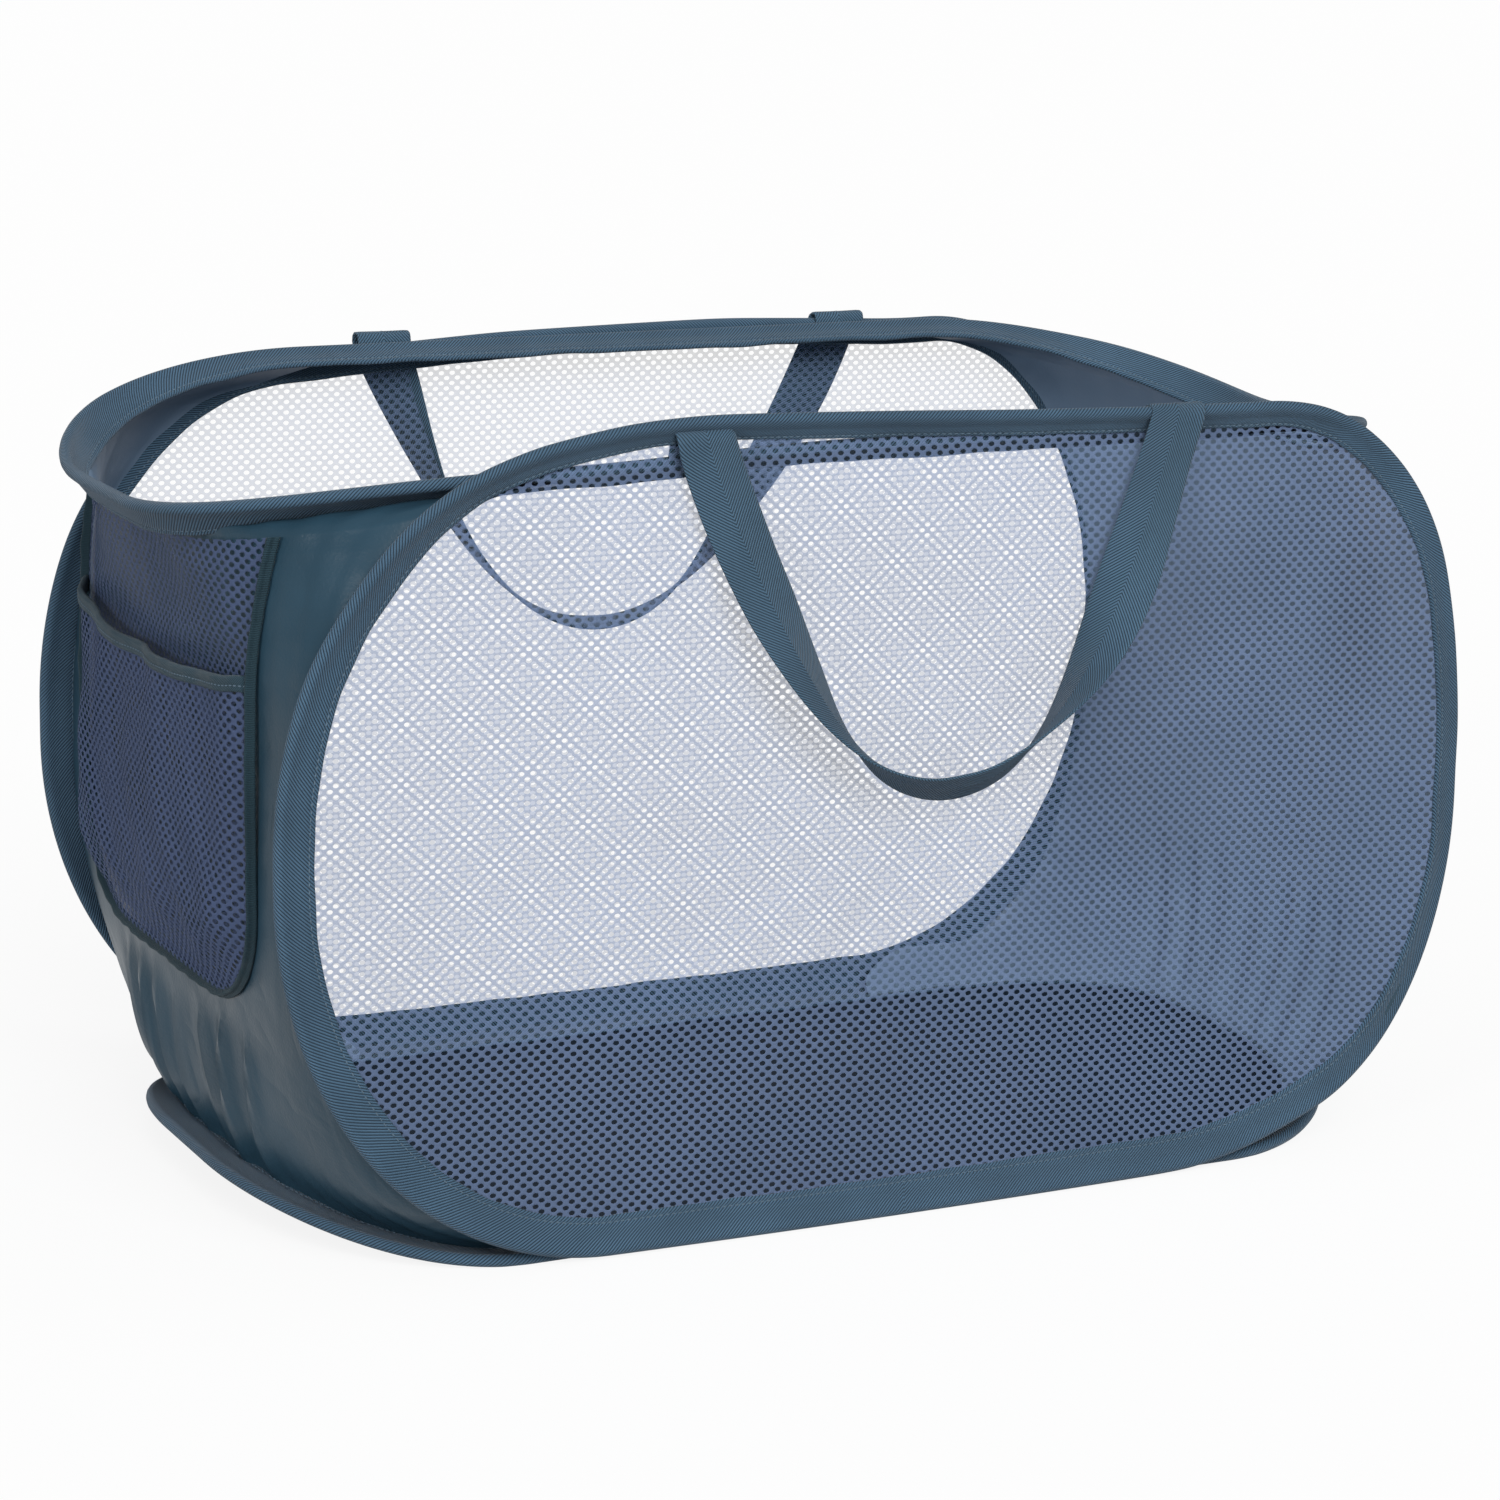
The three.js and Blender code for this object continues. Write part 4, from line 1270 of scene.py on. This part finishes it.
    def build(self, side: str, node: str, material: bpy.types.Material) -> list[bpy.types.Object]:
        """Builds the wall in bands, cut at the given shares of its height.

        Args:
            side: "left" or "right".
            node: The CAD node that the bands replace.
            material: The cloth.

        Returns:
            The bands from the floor up.
        """
        turn = 1.0 if side == "left" else -1.0
        points = self.folded(0.0 if side == "left" else 2.1)
        normals = self.normals(points)
        points = points * np.array([turn, turn, 1.0])
        normals = normals * np.array([turn, turn, 1.0])
        out = np.abs(points[..., 0]) - self.turning_x
        q_low = (points[..., 2] + self.lean_low * out).mean(axis=1)
        q_high = (points[..., 2] + self.lean_high * out).mean(axis=1)
        first, last = q_low[0], q_high[-1]
        marks = [0]
        for share in self.cuts:
            line = q_low if share <= 0.5 else q_high
            marks.append(int(np.argmin(np.abs(line - (first + (last - first) * share)))))
        marks.append(self.rows)
        shares = (0.0, *self.cuts, 1.0)
        bands = []
        for k in range(len(marks) - 1):
            a, b = marks[k], marks[k + 1]
            upper = shares[k] >= 0.5
            line = q_high if upper else q_low
            part = points[a : b + 1]
            band = make_piece(f"{side}_end_cloth_{k + 1}", part, Grid(part).faces(), material, outward=False)
            band.data.normals_split_custom_set_from_vertices(normals[a : b + 1].reshape(-1, 3).tolist())
            width = float(np.linalg.norm(np.diff(part, axis=1), axis=2).sum(axis=1).mean()) * MM
            height = float(np.linalg.norm(np.diff(part, axis=0), axis=2).sum(axis=0).mean()) * MM
            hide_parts(node)
            ends = self.follow((shares[k], shares[k + 1]), (line[a], line[b]), upper, turn)
            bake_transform(band)
            bands.append(band)
        LOG.info("%s end cloth: %d bands", side, len(bands))
        return bands


# Pocket.


@dataclass
class Pocket:
    """The net pocket on the left end: backing, baggy front, mouth tape and piping."""

    wall: EndWall
    half_width: float = 116.0
    top_half_width: float = 124.0
    shift: float = 8.0
    bottom: float = 110.0
    top: float = 341.0
    mouth: float = 259.0
    sag: float = 5.0
    corner: float = 58.0
    depth: float = 13.0
    blend_start: float = -36.0
    blend_end: float = 375.0

    def reach(self, z: Array, inset: float) -> Array:
        """Gives the half-width at a height, drawn in by an inset."""
        rise = smooth((z - self.mouth) / (self.top - self.mouth))
        corner = self.corner - inset
        down = np.maximum(0.0, 1.0 - (z - self.bottom - inset) / corner)
        side = self.half_width + (self.top_half_width - self.half_width) * rise - inset
        return side - corner * (1.0 - np.sqrt(np.maximum(0.0, 1.0 - down * down)))

    def heights(self, inset: float, top: float, count: int) -> Array:
        """Gives rows of heights, closer together round the bottom corners."""
        corner = self.corner - inset
        turn = np.linspace(0.02, QUARTER, 12)
        low = self.bottom + inset + corner * (1 - np.cos(turn))
        return np.concatenate([low, np.linspace(low[-1], top, count)[1:]])

    def mouth_at(self, across: Array) -> Array:
        """Gives the height of the mouth tape's low edge."""
        return self.mouth + self.sag * across**2

    def bag(self, across: Array, share: Array) -> Array:
        """Gives how far the front stands off its backing."""
        full = (1 - np.abs(across) ** 7) * smooth(share * 3.2) * (1 - 0.4 * share**2)
        calm = smooth((1 - np.abs(across)) * 4) * smooth(share * 4)
        soft = 1.6 * np.sin(across * 8 + share * 5 + 1.3 * np.sin(share * 6 + across * 2)) * calm
        fine = 0.8 * np.sin(across * 19 - share * 9 + 1.5 * np.sin(share * 8)) * calm * (1 - 0.5 * share)
        return 3.4 + self.depth * full + soft + fine

    def patch(self, across: Array, z: Array, inset: float, lift: Array) -> Array:
        """Gives a grid of points on the wall for grids of shares across and heights."""
        y = self.shift + across * self.reach(z, inset)
        return self.wall.on_wall(y.ravel(), z.ravel(), lift.ravel()).reshape(*z.shape, 3)

    def attach(self, piece: bpy.types.Object, node: str | None) -> None:
        """Hides the CAD node that a pocket piece replaces, and bakes the piece's place into its mesh."""
        if node:
            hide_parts(node)
        x = -self.wall.turning_x * MM
        start, end = (x, 0.0, self.blend_start * MM), (x, 0.0, self.blend_end * MM)
        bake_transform(piece)

    def net(self, name: str, node: str, points: Array, finishes: Finishes) -> bpy.types.Object:
        """Builds one net sheet from its grid of points, with its faces pointing to -X."""
        piece = make_piece(name, points, Grid(points).faces(), finishes.pocket_net, outward=False)
        if piece.data.polygons[len(piece.data.polygons) // 2].normal.x > 0:
            piece.data.flip_normals()
        self.attach(piece, node)
        return piece

    def nets(self, finishes: Finishes) -> None:
        """Builds the backing net and the baggy front net."""
        across = np.linspace(-1, 1, 61)
        rows = self.heights(1.0, self.top, 50)
        grid_a, grid_z = np.meshgrid(across, rows)
        high = smooth((grid_z - self.mouth) / 25.0) * smooth((self.top - grid_z) / 20.0)
        slack = 1.8 * np.sin(grid_a * 6 + grid_z / 17 + 1.2 * np.sin(grid_z / 11)) + 2.0
        backing = self.patch(grid_a, grid_z, 1.0, 2.2 + slack * high * smooth((1 - np.abs(grid_a)) * 5))
        piece = self.net("pocket_backing_net", "pocket_backing_mesh", backing, finishes)
        rows = self.heights(1.0, self.mouth, 44)
        grid_a, grid_z = np.meshgrid(across, rows)
        share = (grid_z - rows[0]) / (rows[-1] - rows[0])
        lifted = grid_z + share**3 * (self.mouth_at(grid_a) - self.mouth)
        front = self.patch(grid_a, lifted, 1.0, self.bag(grid_a, share))
        piece = self.net("pocket_front_net", "pocket_front_mesh", front, finishes)

    def mouth_tape(self, finishes: Finishes, stitches: StitchMaker) -> None:
        """Builds the folded tape on the front net's top edge, with its stitch row."""
        across = np.linspace(-1, 1, 101)
        face = [(0, 0.9), (0.5, 1.3), (2.2, 1.35), (3.0, 1.05), (3.8, 1.4), (6.6, 1.45), (7.6, 1.1)]
        face.append((8.0, 0.3))
        shape = face + [(height, -lift) for height, lift in reversed(face)]
        uneven = 0.35 * np.sin(across * 31) + 0.25 * np.sin(across * 53 + 1)
        columns = []
        base_lift = self.bag(across, np.ones_like(across))
        for height, lift in shape:
            z = self.mouth_at(across) + height - 1.0 + uneven * 0.4
            y = self.shift + across * self.reach(z, 2.2)
            columns.append(self.wall.on_wall(y, z, base_lift + lift + uneven * 0.5))
        sections = np.stack(columns, axis=1)
        piece = swept_piece("pocket_mouth_tape", sections, False, finishes.mouth)
        self.attach(piece, "pocket_mouth_binding")
        z = self.mouth_at(across) + 2.0 + uneven * 0.4
        row = self.wall.on_wall(self.shift + across * self.reach(z, 2.2), z, base_lift + 1.25 + uneven * 0.5)
        thread = stitches.sew("pocket_mouth_stitches", [(row, False)], spacing=2.8)
        self.attach(thread, None)

    def outline(self) -> Array:
        """Gives the pocket's outline from the top of one side, round the bottom, to the other top."""
        rows = self.heights(0.0, self.top, 60)
        left = np.stack([-self.reach(rows, 0.0), rows], 1)[::-1]
        flat = self.half_width - self.corner
        middle = np.linspace(-flat, flat, 40)[1:-1]
        bottom = np.stack([middle, np.full(len(middle), self.bottom)], 1)
        right = np.stack([self.reach(rows, 0.0), rows], 1)
        return resample(np.vstack([left, bottom, right]), 330, False)

    def piping(self, finishes: Finishes) -> None:
        """Builds the dark folded piping round the pocket, with its standing fold."""
        path = self.outline()
        way = unit(np.gradient(path, axis=0))
        out = np.stack([way[:, 1], -way[:, 0]], 1)
        shape = [(-3.0, 0.9), (-2.7, 1.9), (-1.6, 2.6), (-1.0, 4.0), (-0.2, 5.0), (0.7, 5.1), (1.3, 4.4)]
        shape += [(1.2, 3.0), (1.9, 2.2), (2.9, 1.8), (3.1, 0.9), (1.5, 0.6), (-1.5, 0.6)]
        along = arc_lengths(path, False)
        uneven = waves(along, along[-1], (11, 23, 47), 0.7)
        columns = []
        for across, lift in shape:
            point = path + out * (across + 0.5 * uneven[:, None] * (lift / 5.0))
            z = np.minimum(point[:, 1], self.top + 6.0)
            rise = lift * (1.0 + 0.1 * uneven) + 0.8
            columns.append(self.wall.on_wall(self.shift + point[:, 0], z, rise))
        piece = swept_piece("pocket_edge_piping", np.stack(columns, axis=1), False, finishes.piping)
        self.attach(piece, "pocket_edge_binding")

    def build(self, finishes: Finishes, stitches: StitchMaker) -> None:
        """Builds the whole pocket."""
        self.piping(finishes)
        self.nets(finishes)
        self.mouth_tape(finishes, stitches)
        LOG.info("pocket: %.0f x %.0f mm", 2 * self.half_width, self.top - self.bottom)


# Handles.


@dataclass(frozen=True)
class Hang:
    """How one webbing loop hangs: its half-width, its place, its drop and its twist.

    The twist lists pairs of a share of the way along the loop and a turn in degrees.
    """

    half_span: float
    shift: float
    drop: float
    twist: tuple[tuple[float, float], ...]


FRONT_HANG = Hang(
    half_span=120.5,
    shift=10.0,
    drop=162.0,
    twist=(
        (0.0, 0), (0.1, 0), (0.2, 14), (0.3, 46), (0.37, 73), (0.44, 108), (0.5, 128),
        (0.57, 128), (0.63, 112), (0.7, 80), (0.78, 44), (0.86, 12), (0.93, 0), (1.0, 0),
    ),
)
BACK_HANG = Hang(
    half_span=128.0,
    shift=-0.5,
    drop=155.5,
    twist=(
        (0.0, 0), (0.1, 0), (0.2, 12), (0.3, 38), (0.42, 74), (0.5, 92), (0.6, 97), (0.7, 94),
        (0.8, 84), (0.87, 66), (0.93, 45), (0.965, 30), (0.985, 0), (1.0, 0),
    ),
)


@dataclass
class Handle:
    """A free loop of webbing over a side hoop, with its two sewn ends."""

    WRAP_POINTS = 16
    HANG_POINTS = 90
    PATH_POINTS = 260
    START_DROP = 1.5
    LEAN_SHARE = 0.62
    FREE_START = 0.02
    FREE_RUN = 0.05

    side: str
    hoop: Hoop
    hang: Hang
    fold_height: float = 374.86
    seam_y: float = 161.85
    arc: float = 2.17
    width: float = 28.0
    thickness: float = 1.2
    lean: float = 13.0
    wrap_radius: float = 3.6
    tail: float = 9.5
    tab_lift: float = 2.2

    def arm(self) -> Array:
        """Gives one arm from the wrap's start to the middle of the loop, for the front side's left arm."""
        wire_y, wire_z = -self.hoop.level, self.hoop.high
        turn = np.radians(np.linspace(48.0, -90.0, self.WRAP_POINTS))
        wrap_y, wrap_z = self.wrap_radius * np.sin(turn), self.wrap_radius * np.cos(turn)
        wrap = np.stack([np.full(len(turn), -self.hang.half_span), wire_y + wrap_y, wire_z + wrap_z], 1)
        share = np.linspace(0.0, 1.0, self.HANG_POINTS)
        x = -self.hang.half_span * (1 - share)
        depth = self.hang.drop * (1 - (1 - share) ** self.arc)
        arc = arc_lengths(np.stack([x, depth], 1), False)
        lean = self.lean * smooth(arc / arc[-1] / self.LEAN_SHARE)
        hang = np.stack([x, wire_y - self.wrap_radius - lean, wire_z - self.START_DROP - depth], 1)
        return np.vstack([wrap, hang[2:]])

    def frames(self) -> tuple[Array, Array, Array]:
        """Gives the strap's path with its directions of width and thickness."""
        arm = self.arm()
        other = arm[::-1][1:] * np.array([-1.0, 1.0, 1.0])
        path = softened(resample(np.vstack([arm, other]), self.PATH_POINTS, False), 3)
        way = unit(np.gradient(path, axis=0))
        along = arc_lengths(path, False)
        share = along / along[-1]
        marks = np.array(self.hang.twist)
        turn = softened(np.interp(share, marks[:, 0], marks[:, 1]), 30)
        turn = np.radians(turn)[:, None]
        inner = unit(np.cross(way, np.array([0.0, 1.0, 0.0])))
        hand = np.where(share[:, None] < 0.5, 1.0, -1.0) * np.array([1.0, 0.0, 0.0])
        free = smooth((np.minimum(share, 1 - share) - self.FREE_START) / self.FREE_RUN)[:, None]
        inner = unit(hand * (1 - free) + inner * free)
        across = unit(np.cos(turn) * inner + np.sin(turn) * np.array([0.0, 1.0, 0.0]))
        across = unit(across - way * np.sum(across * way, axis=1, keepdims=True))
        thick = unit(np.cross(way, across))
        return path, across, thick

    def section(self) -> list[tuple[float, float]]:
        """Gives the webbing's section: flat faces, soft edges and a faint centre spine."""
        half, thick = self.width / 2, self.thickness / 2
        face = [(-half, 0.25), (-half + 0.35, thick), (-half + 2.2, thick + 0.12), (-0.9, thick)]
        face += [(0.0, thick + 0.16), (0.9, thick)]
        face += [(half - 2.2, thick + 0.12), (half - 0.35, thick), (half, 0.25)]
        return face + [(across, -lift) for across, lift in reversed(face)]

    def placed(self, points: Array) -> Array:
        """Moves points from the front's own layout to the handle's side."""
        points = points.copy()
        if self.hoop.plane is Plane.BACK:
            points[..., :2] *= -1.0
        points[..., 0] += self.hang.shift
        return points

    def strap(
        self, name: str, path: Array, across: Array, thick: Array, finishes: Finishes
    ) -> bpy.types.Object:
        """Sweeps the webbing's section along a path."""
        columns = [path + across * a + thick * b for a, b in self.section()]
        return swept_piece(name, self.placed(np.stack(columns, axis=1)), False, finishes.webbing)

    def end_path(self, x: float) -> tuple[Array, Array, Array]:
        """Gives a sewn end's path, from its cut edge up the tape's inner face to the wrap."""
        wire = np.array([x, -self.hoop.level, self.hoop.high])
        lean = math.radians(self.hoop.roll.top)
        reach = np.array([0.0, math.sin(lean), -math.cos(lean)])
        off = np.array([0.0, math.cos(lean), math.sin(lean)])
        run = [wire + reach * a + off * self.tab_lift for a in np.linspace(self.tail, 6.0, 10)]
        run += [wire + reach * 4.0 + off * 2.75, wire + reach * 2.0 + off * 3.4]
        for degrees in np.linspace(90.0 - math.degrees(lean), 44.0, 5):
            turn = math.radians(float(degrees))
            run.append(wire + self.wrap_radius * np.array([0.0, math.sin(turn), math.cos(turn)]))
        path = resample(np.array(run), 40, False)
        way = unit(np.gradient(path, axis=0))
        across = np.tile([1.0, 0.0, 0.0], (len(path), 1))
        return path, across, unit(np.cross(way, across))

    def build(self, finishes: Finishes, stitches: StitchMaker) -> None:
        """Builds the loop and its two ends with their sewn crosses."""
        path, across, thick = self.frames()
        loop = self.strap(f"{self.side}_handle_strap", path, across, thick, finishes)
        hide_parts(f"{self.side}_handle")
        sign = float(self.hoop.plane.value)
        f"{self.side}_panel"
        f"{self.side}_handle"
        self.hang.shift * MM
        sign * (self.seam_y - 0.8) * MM
        (self.fold_height + 0.8) * MM
        self.hang.shift * MM
        sign * (self.seam_y + 7.5) * MM
        (self.fold_height - 7.5) * MM
        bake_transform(loop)
        half_row, row_lift = 12.0, 0.95
        labels = ("left", "right") if self.hoop.plane is Plane.FRONT else ("right", "left")
        for label, x in zip(labels, (-self.hang.half_span, self.hang.half_span)):
            path, across, thick = self.end_path(x)
            end = self.strap(f"{self.side}_handle_{label}_tab", path, across, thick, finishes)
            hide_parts(f"{self.side}_handle_{label}_end")
            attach(end, f"{self.side}_panel")
            rows = []
            for share in (0.12, 0.5):
                k = int(share * (len(path) - 1))
                row = np.outer(np.linspace(-half_row, half_row, 12), across[k])
                rows.append((self.placed(path[k] + row + thick[k] * row_lift), False))
            thread = stitches.sew(f"{self.side}_handle_{label}_stitches", rows, spacing=2.6)
            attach(thread, f"{self.side}_panel")
        LOG.info("%s handle: %d points along", self.side, len(path))


# Studio and camera.


@dataclass(frozen=True)
class StudioLight:
    """A soft lamp far from the hamper."""

    name: str
    azimuth: float
    elevation: float
    strength: float
    softness: float
    distance: float = 4.0

    def build(self) -> None:
        """Adds the lamp, turned towards the hamper."""
        lamp = bpy.data.lights.new(self.name, "SUN")
        lamp.energy = self.strength
        lamp.angle = math.radians(self.softness)
        holder = add_object(self.name, lamp)
        away = heading(self.azimuth, self.elevation)
        holder.rotation_euler = away.to_track_quat("Z", "Y").to_euler()
        holder.location = away * self.distance


@dataclass(frozen=True)
class Studio:
    """A pale floor, an even world and soft lamps."""

    world_light: float = 0.36
    floor_glow: float = 0.87
    floor_bounce: float = 0.4
    floor_half: float = 30.0

    def lights(self) -> None:
        """Adds the lamps: a broad one from the front and a narrower one from the left."""
        StudioLight("main lamp", -6.0, 36.0, 2.5, 34.0).build()
        StudioLight("side lamp", -64.0, 12.0, 0.95, 12.0).build()

    @staticmethod
    def seen(work: Tree) -> bpy.types.NodeSocket:
        """Gives 1 for rays that show the background: straight, in gloss or through glass."""
        rays = work.node("ShaderNodeLightPath")
        first = work.math("MAXIMUM", rays.outputs["Is Camera Ray"], rays.outputs["Is Glossy Ray"])
        return work.math("MAXIMUM", first, rays.outputs["Is Transmission Ray"])

    def world(self) -> None:
        """Lights the scene evenly and shows plain white behind it."""
        world = bpy.data.worlds.new("studio world")
        world.use_nodes = True
        bpy.context.scene.world = world
        work = Tree(world.node_tree)
        back = world.node_tree.nodes["Background"]
        back.inputs["Color"].default_value = (1.0, 1.0, 1.0, 1.0)
        straight = work.node("ShaderNodeLightPath").outputs["Is Camera Ray"]
        work.feed(back.inputs["Strength"], work.scaled(straight, 1.0 - self.world_light, self.world_light))

    def floor(self) -> None:
        """Adds the white floor, which keeps the hamper's faint shadow."""
        half = self.floor_half / MM
        points = np.array([[-half, -half, 0], [half, -half, 0], [half, half, 0], [-half, half, 0]], float)
        material, work, shader = new_material("pale floor")
        dim = (self.floor_bounce,) * 3 + (1.0,)
        seen = self.seen(work)
        work.feed(shader.inputs["Base Color"], work.blend_colours(seen, dim, (1.0, 1.0, 1.0, 1.0)))
        shader.inputs["Roughness"].default_value = 0.9
        shader.inputs["Specular IOR Level"].default_value = 0.0
        share = work.math("MULTIPLY", seen, self.floor_glow)
        feeds = {0: share, 1: shader.outputs[0], 2: work.out("ShaderNodeEmission")}
        mix = work.out("ShaderNodeMixShader", feeds)
        work.feed(material.node_tree.nodes["Material Output"].inputs["Surface"], mix)
        floor = make_piece("studio_floor", points, [(0, 1, 2, 3)], material, outward=False)

    def build(self) -> None:
        """Builds the whole studio."""
        self.world()
        self.floor()
        self.lights()
        bpy.context.scene.view_settings.view_transform = "Standard"


@dataclass(frozen=True)
class ViewPoint:
    """The photograph's viewing place."""

    azimuth: float = -26.7734
    elevation: float = 13.3541
    roll: float = 1.2943
    distance: float = 2107.8
    target: tuple[float, float, float] = (-0.8, 0.0, 185.5)
    lens: float = 103.49
    sensor: float = 36.0

    def build(self) -> None:
        """Creates the camera and makes it the scene's own."""
        r = math.radians(self.roll)
        away = heading(self.azimuth, self.elevation)
        right = (-away).cross(Vector((0, 0, 1))).normalized()
        up = right.cross(-away)
        level_right = right * math.cos(r) + up * math.sin(r)
        level_up = up * math.cos(r) - right * math.sin(r)
        place = (Vector(self.target) + away * self.distance) * MM
        lens = bpy.data.cameras.new("camera")
        lens.sensor_width = self.sensor
        lens.lens = self.lens
        camera = add_object("camera", lens)
        turn = Matrix((level_right, level_up, away)).transposed().to_4x4()
        camera.matrix_world = Matrix.Translation(place) @ turn
        bpy.context.scene.camera = camera


@dataclass
class Hamper:
    """The whole hamper: four hoops, the panels between them, the pocket and the handles."""

    side_upper: Corner = Corner(125.0, 171.0, 2.0)
    side_lower: Corner = Corner(158.0, 178.0, 1.0)
    top_corner: Corner = Corner(157.0, 125.0)
    base_corner: Corner = Corner(106.0, 130.0)
    side_y: float = 165.3115
    base_half: float = 290.0
    top_half: float = 330.0
    side_half: float = 305.0
    ring_half_width: float = 158.0
    base_z: float = 2.5115
    top_z: float = 357.5115
    side_low: float = 3.0115
    side_high: float = 371.0115
    front_give: tuple[tuple[float, float], ...] = (
        (0.0, -8.7), (0.022, -8.4), (0.045, -5.0), (0.06, -1.0), (0.08, 2.2), (0.1, 3.0), (0.115, 3.4),
        (0.13, 1.2), (0.176, 0.5), (0.22, 2.0), (0.264, 5.0), (0.311, 8.0), (0.332, 6.5), (0.353, 1.0),
        (0.363, -2.9), (0.388, -4.0), (0.42, -3.0), (0.447, 1.4), (0.5, 1.4), (0.53, 0.0), (0.6, 0.0),
        (0.83, 0.0), (0.85, -1.3), (0.874, -0.5), (0.89, 3.5), (0.91, 3.4), (0.93, 0.0), (0.957, -4.8),
        (0.974, -7.0), (0.99, -8.7),
    )
    back_give: tuple[tuple[float, float], ...] = (
        (0.0, 0.0), (0.11, 0.0), (0.149, -3.0), (0.21, 0.0), (0.285, -2.0), (0.337, -6.0), (0.36, -8.5),
        (0.39, -6.5), (0.42, -2.5), (0.44, 0.0), (0.6, 0.0),
    )

    def hoops(self) -> dict[str, Hoop]:
        """Lays out the four hoops."""
        ring = {"low": -self.ring_half_width, "high": self.ring_half_width}
        side = {
            "low": self.side_low,
            "high": self.side_high,
            "upper": self.side_upper,
            "lower": self.side_lower,
            "level": self.side_y,
        }
        return {
            "base": Hoop(
                "base", "base", Plane.FLAT, self.base_half, upper=self.base_corner, lower=self.base_corner,
                level=self.base_z, roll=Roll(), bend=20.0, far_bend=13.0, phase=0.3, **ring,
            ),
            "top": Hoop(
                "top", "top_ring", Plane.FLAT, self.top_half, upper=self.top_corner, lower=self.top_corner,
                level=self.top_z, roll=Roll(near=33.0, far=15.0, ends=52.0), bend=-23.0, far_bend=-20.0,
                far_pull=27.0, back_rise=9.5, near_rise=5.2, phase=1.9, **ring,
            ),
            "front": Hoop(
                "front", "front_panel", Plane.FRONT, self.side_half, phase=3.1, give=self.front_give,
                roll=Roll(top=20.0, left=4.0, right=-28.0, trim_top=0.5, trim_right=0.12), **side,
            ),
            "back": Hoop(
                "back", "back_panel", Plane.BACK, self.side_half, phase=4.6, give=self.back_give,
                roll=Roll(top=20.0, left=4.0, right=-10.0, trim_top=0.4), **side,
            ),
        }

    def build(self) -> None:
        """Builds every sub-assembly in order."""
        finishes = Finishes()
        stitches = StitchMaker(finishes.thread)
        hoops = self.hoops()
        for hoop in hoops.values():
            hoop.build(finishes, stitches)
        for name in ("front", "back"):
            panel = HoopPanel(f"{name}_net", f"{name}_mesh", hoops[name], "net", ripple=0.9, sag=1.5,
                              flat=(0.58, 0.34))
            panel.build(finishes.side_net)
        HoopPanel("floor_sheet", "floor_cloth", hoops["base"], "cloth", rest_height=1.0, ripple=0.35,
                  flat=(0.55, 0.286), held="laid").build(finishes.floor_cloth)
        wall = EndWall(hoops["base"], hoops["top"], hoops["front"], hoops["back"])
        wall.build("left", "left_end_cloth", finishes.cloth)
        turned = {name: TurnedHoop(hoop) for name, hoop in hoops.items()}
        far_wall = EndWall(turned["base"], turned["top"], turned["back"], turned["front"])
        far_wall.build("right", "right_end_cloth", finishes.cloth)
        Pocket(wall).build(finishes, stitches)
        for name, hang in (("front", FRONT_HANG), ("back", BACK_HANG)):
            Handle(name, hoops[name], hang).build(finishes, stitches)


def main() -> None:
    """Builds the scene round the fixed frame."""
    logging.basicConfig(level=logging.INFO, format="%(name)s %(message)s")
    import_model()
    ViewPoint().build()
    Studio().build()
    Hamper().build()
    bpy.context.view_layer.update()


if __name__ == "__main__":
    main()
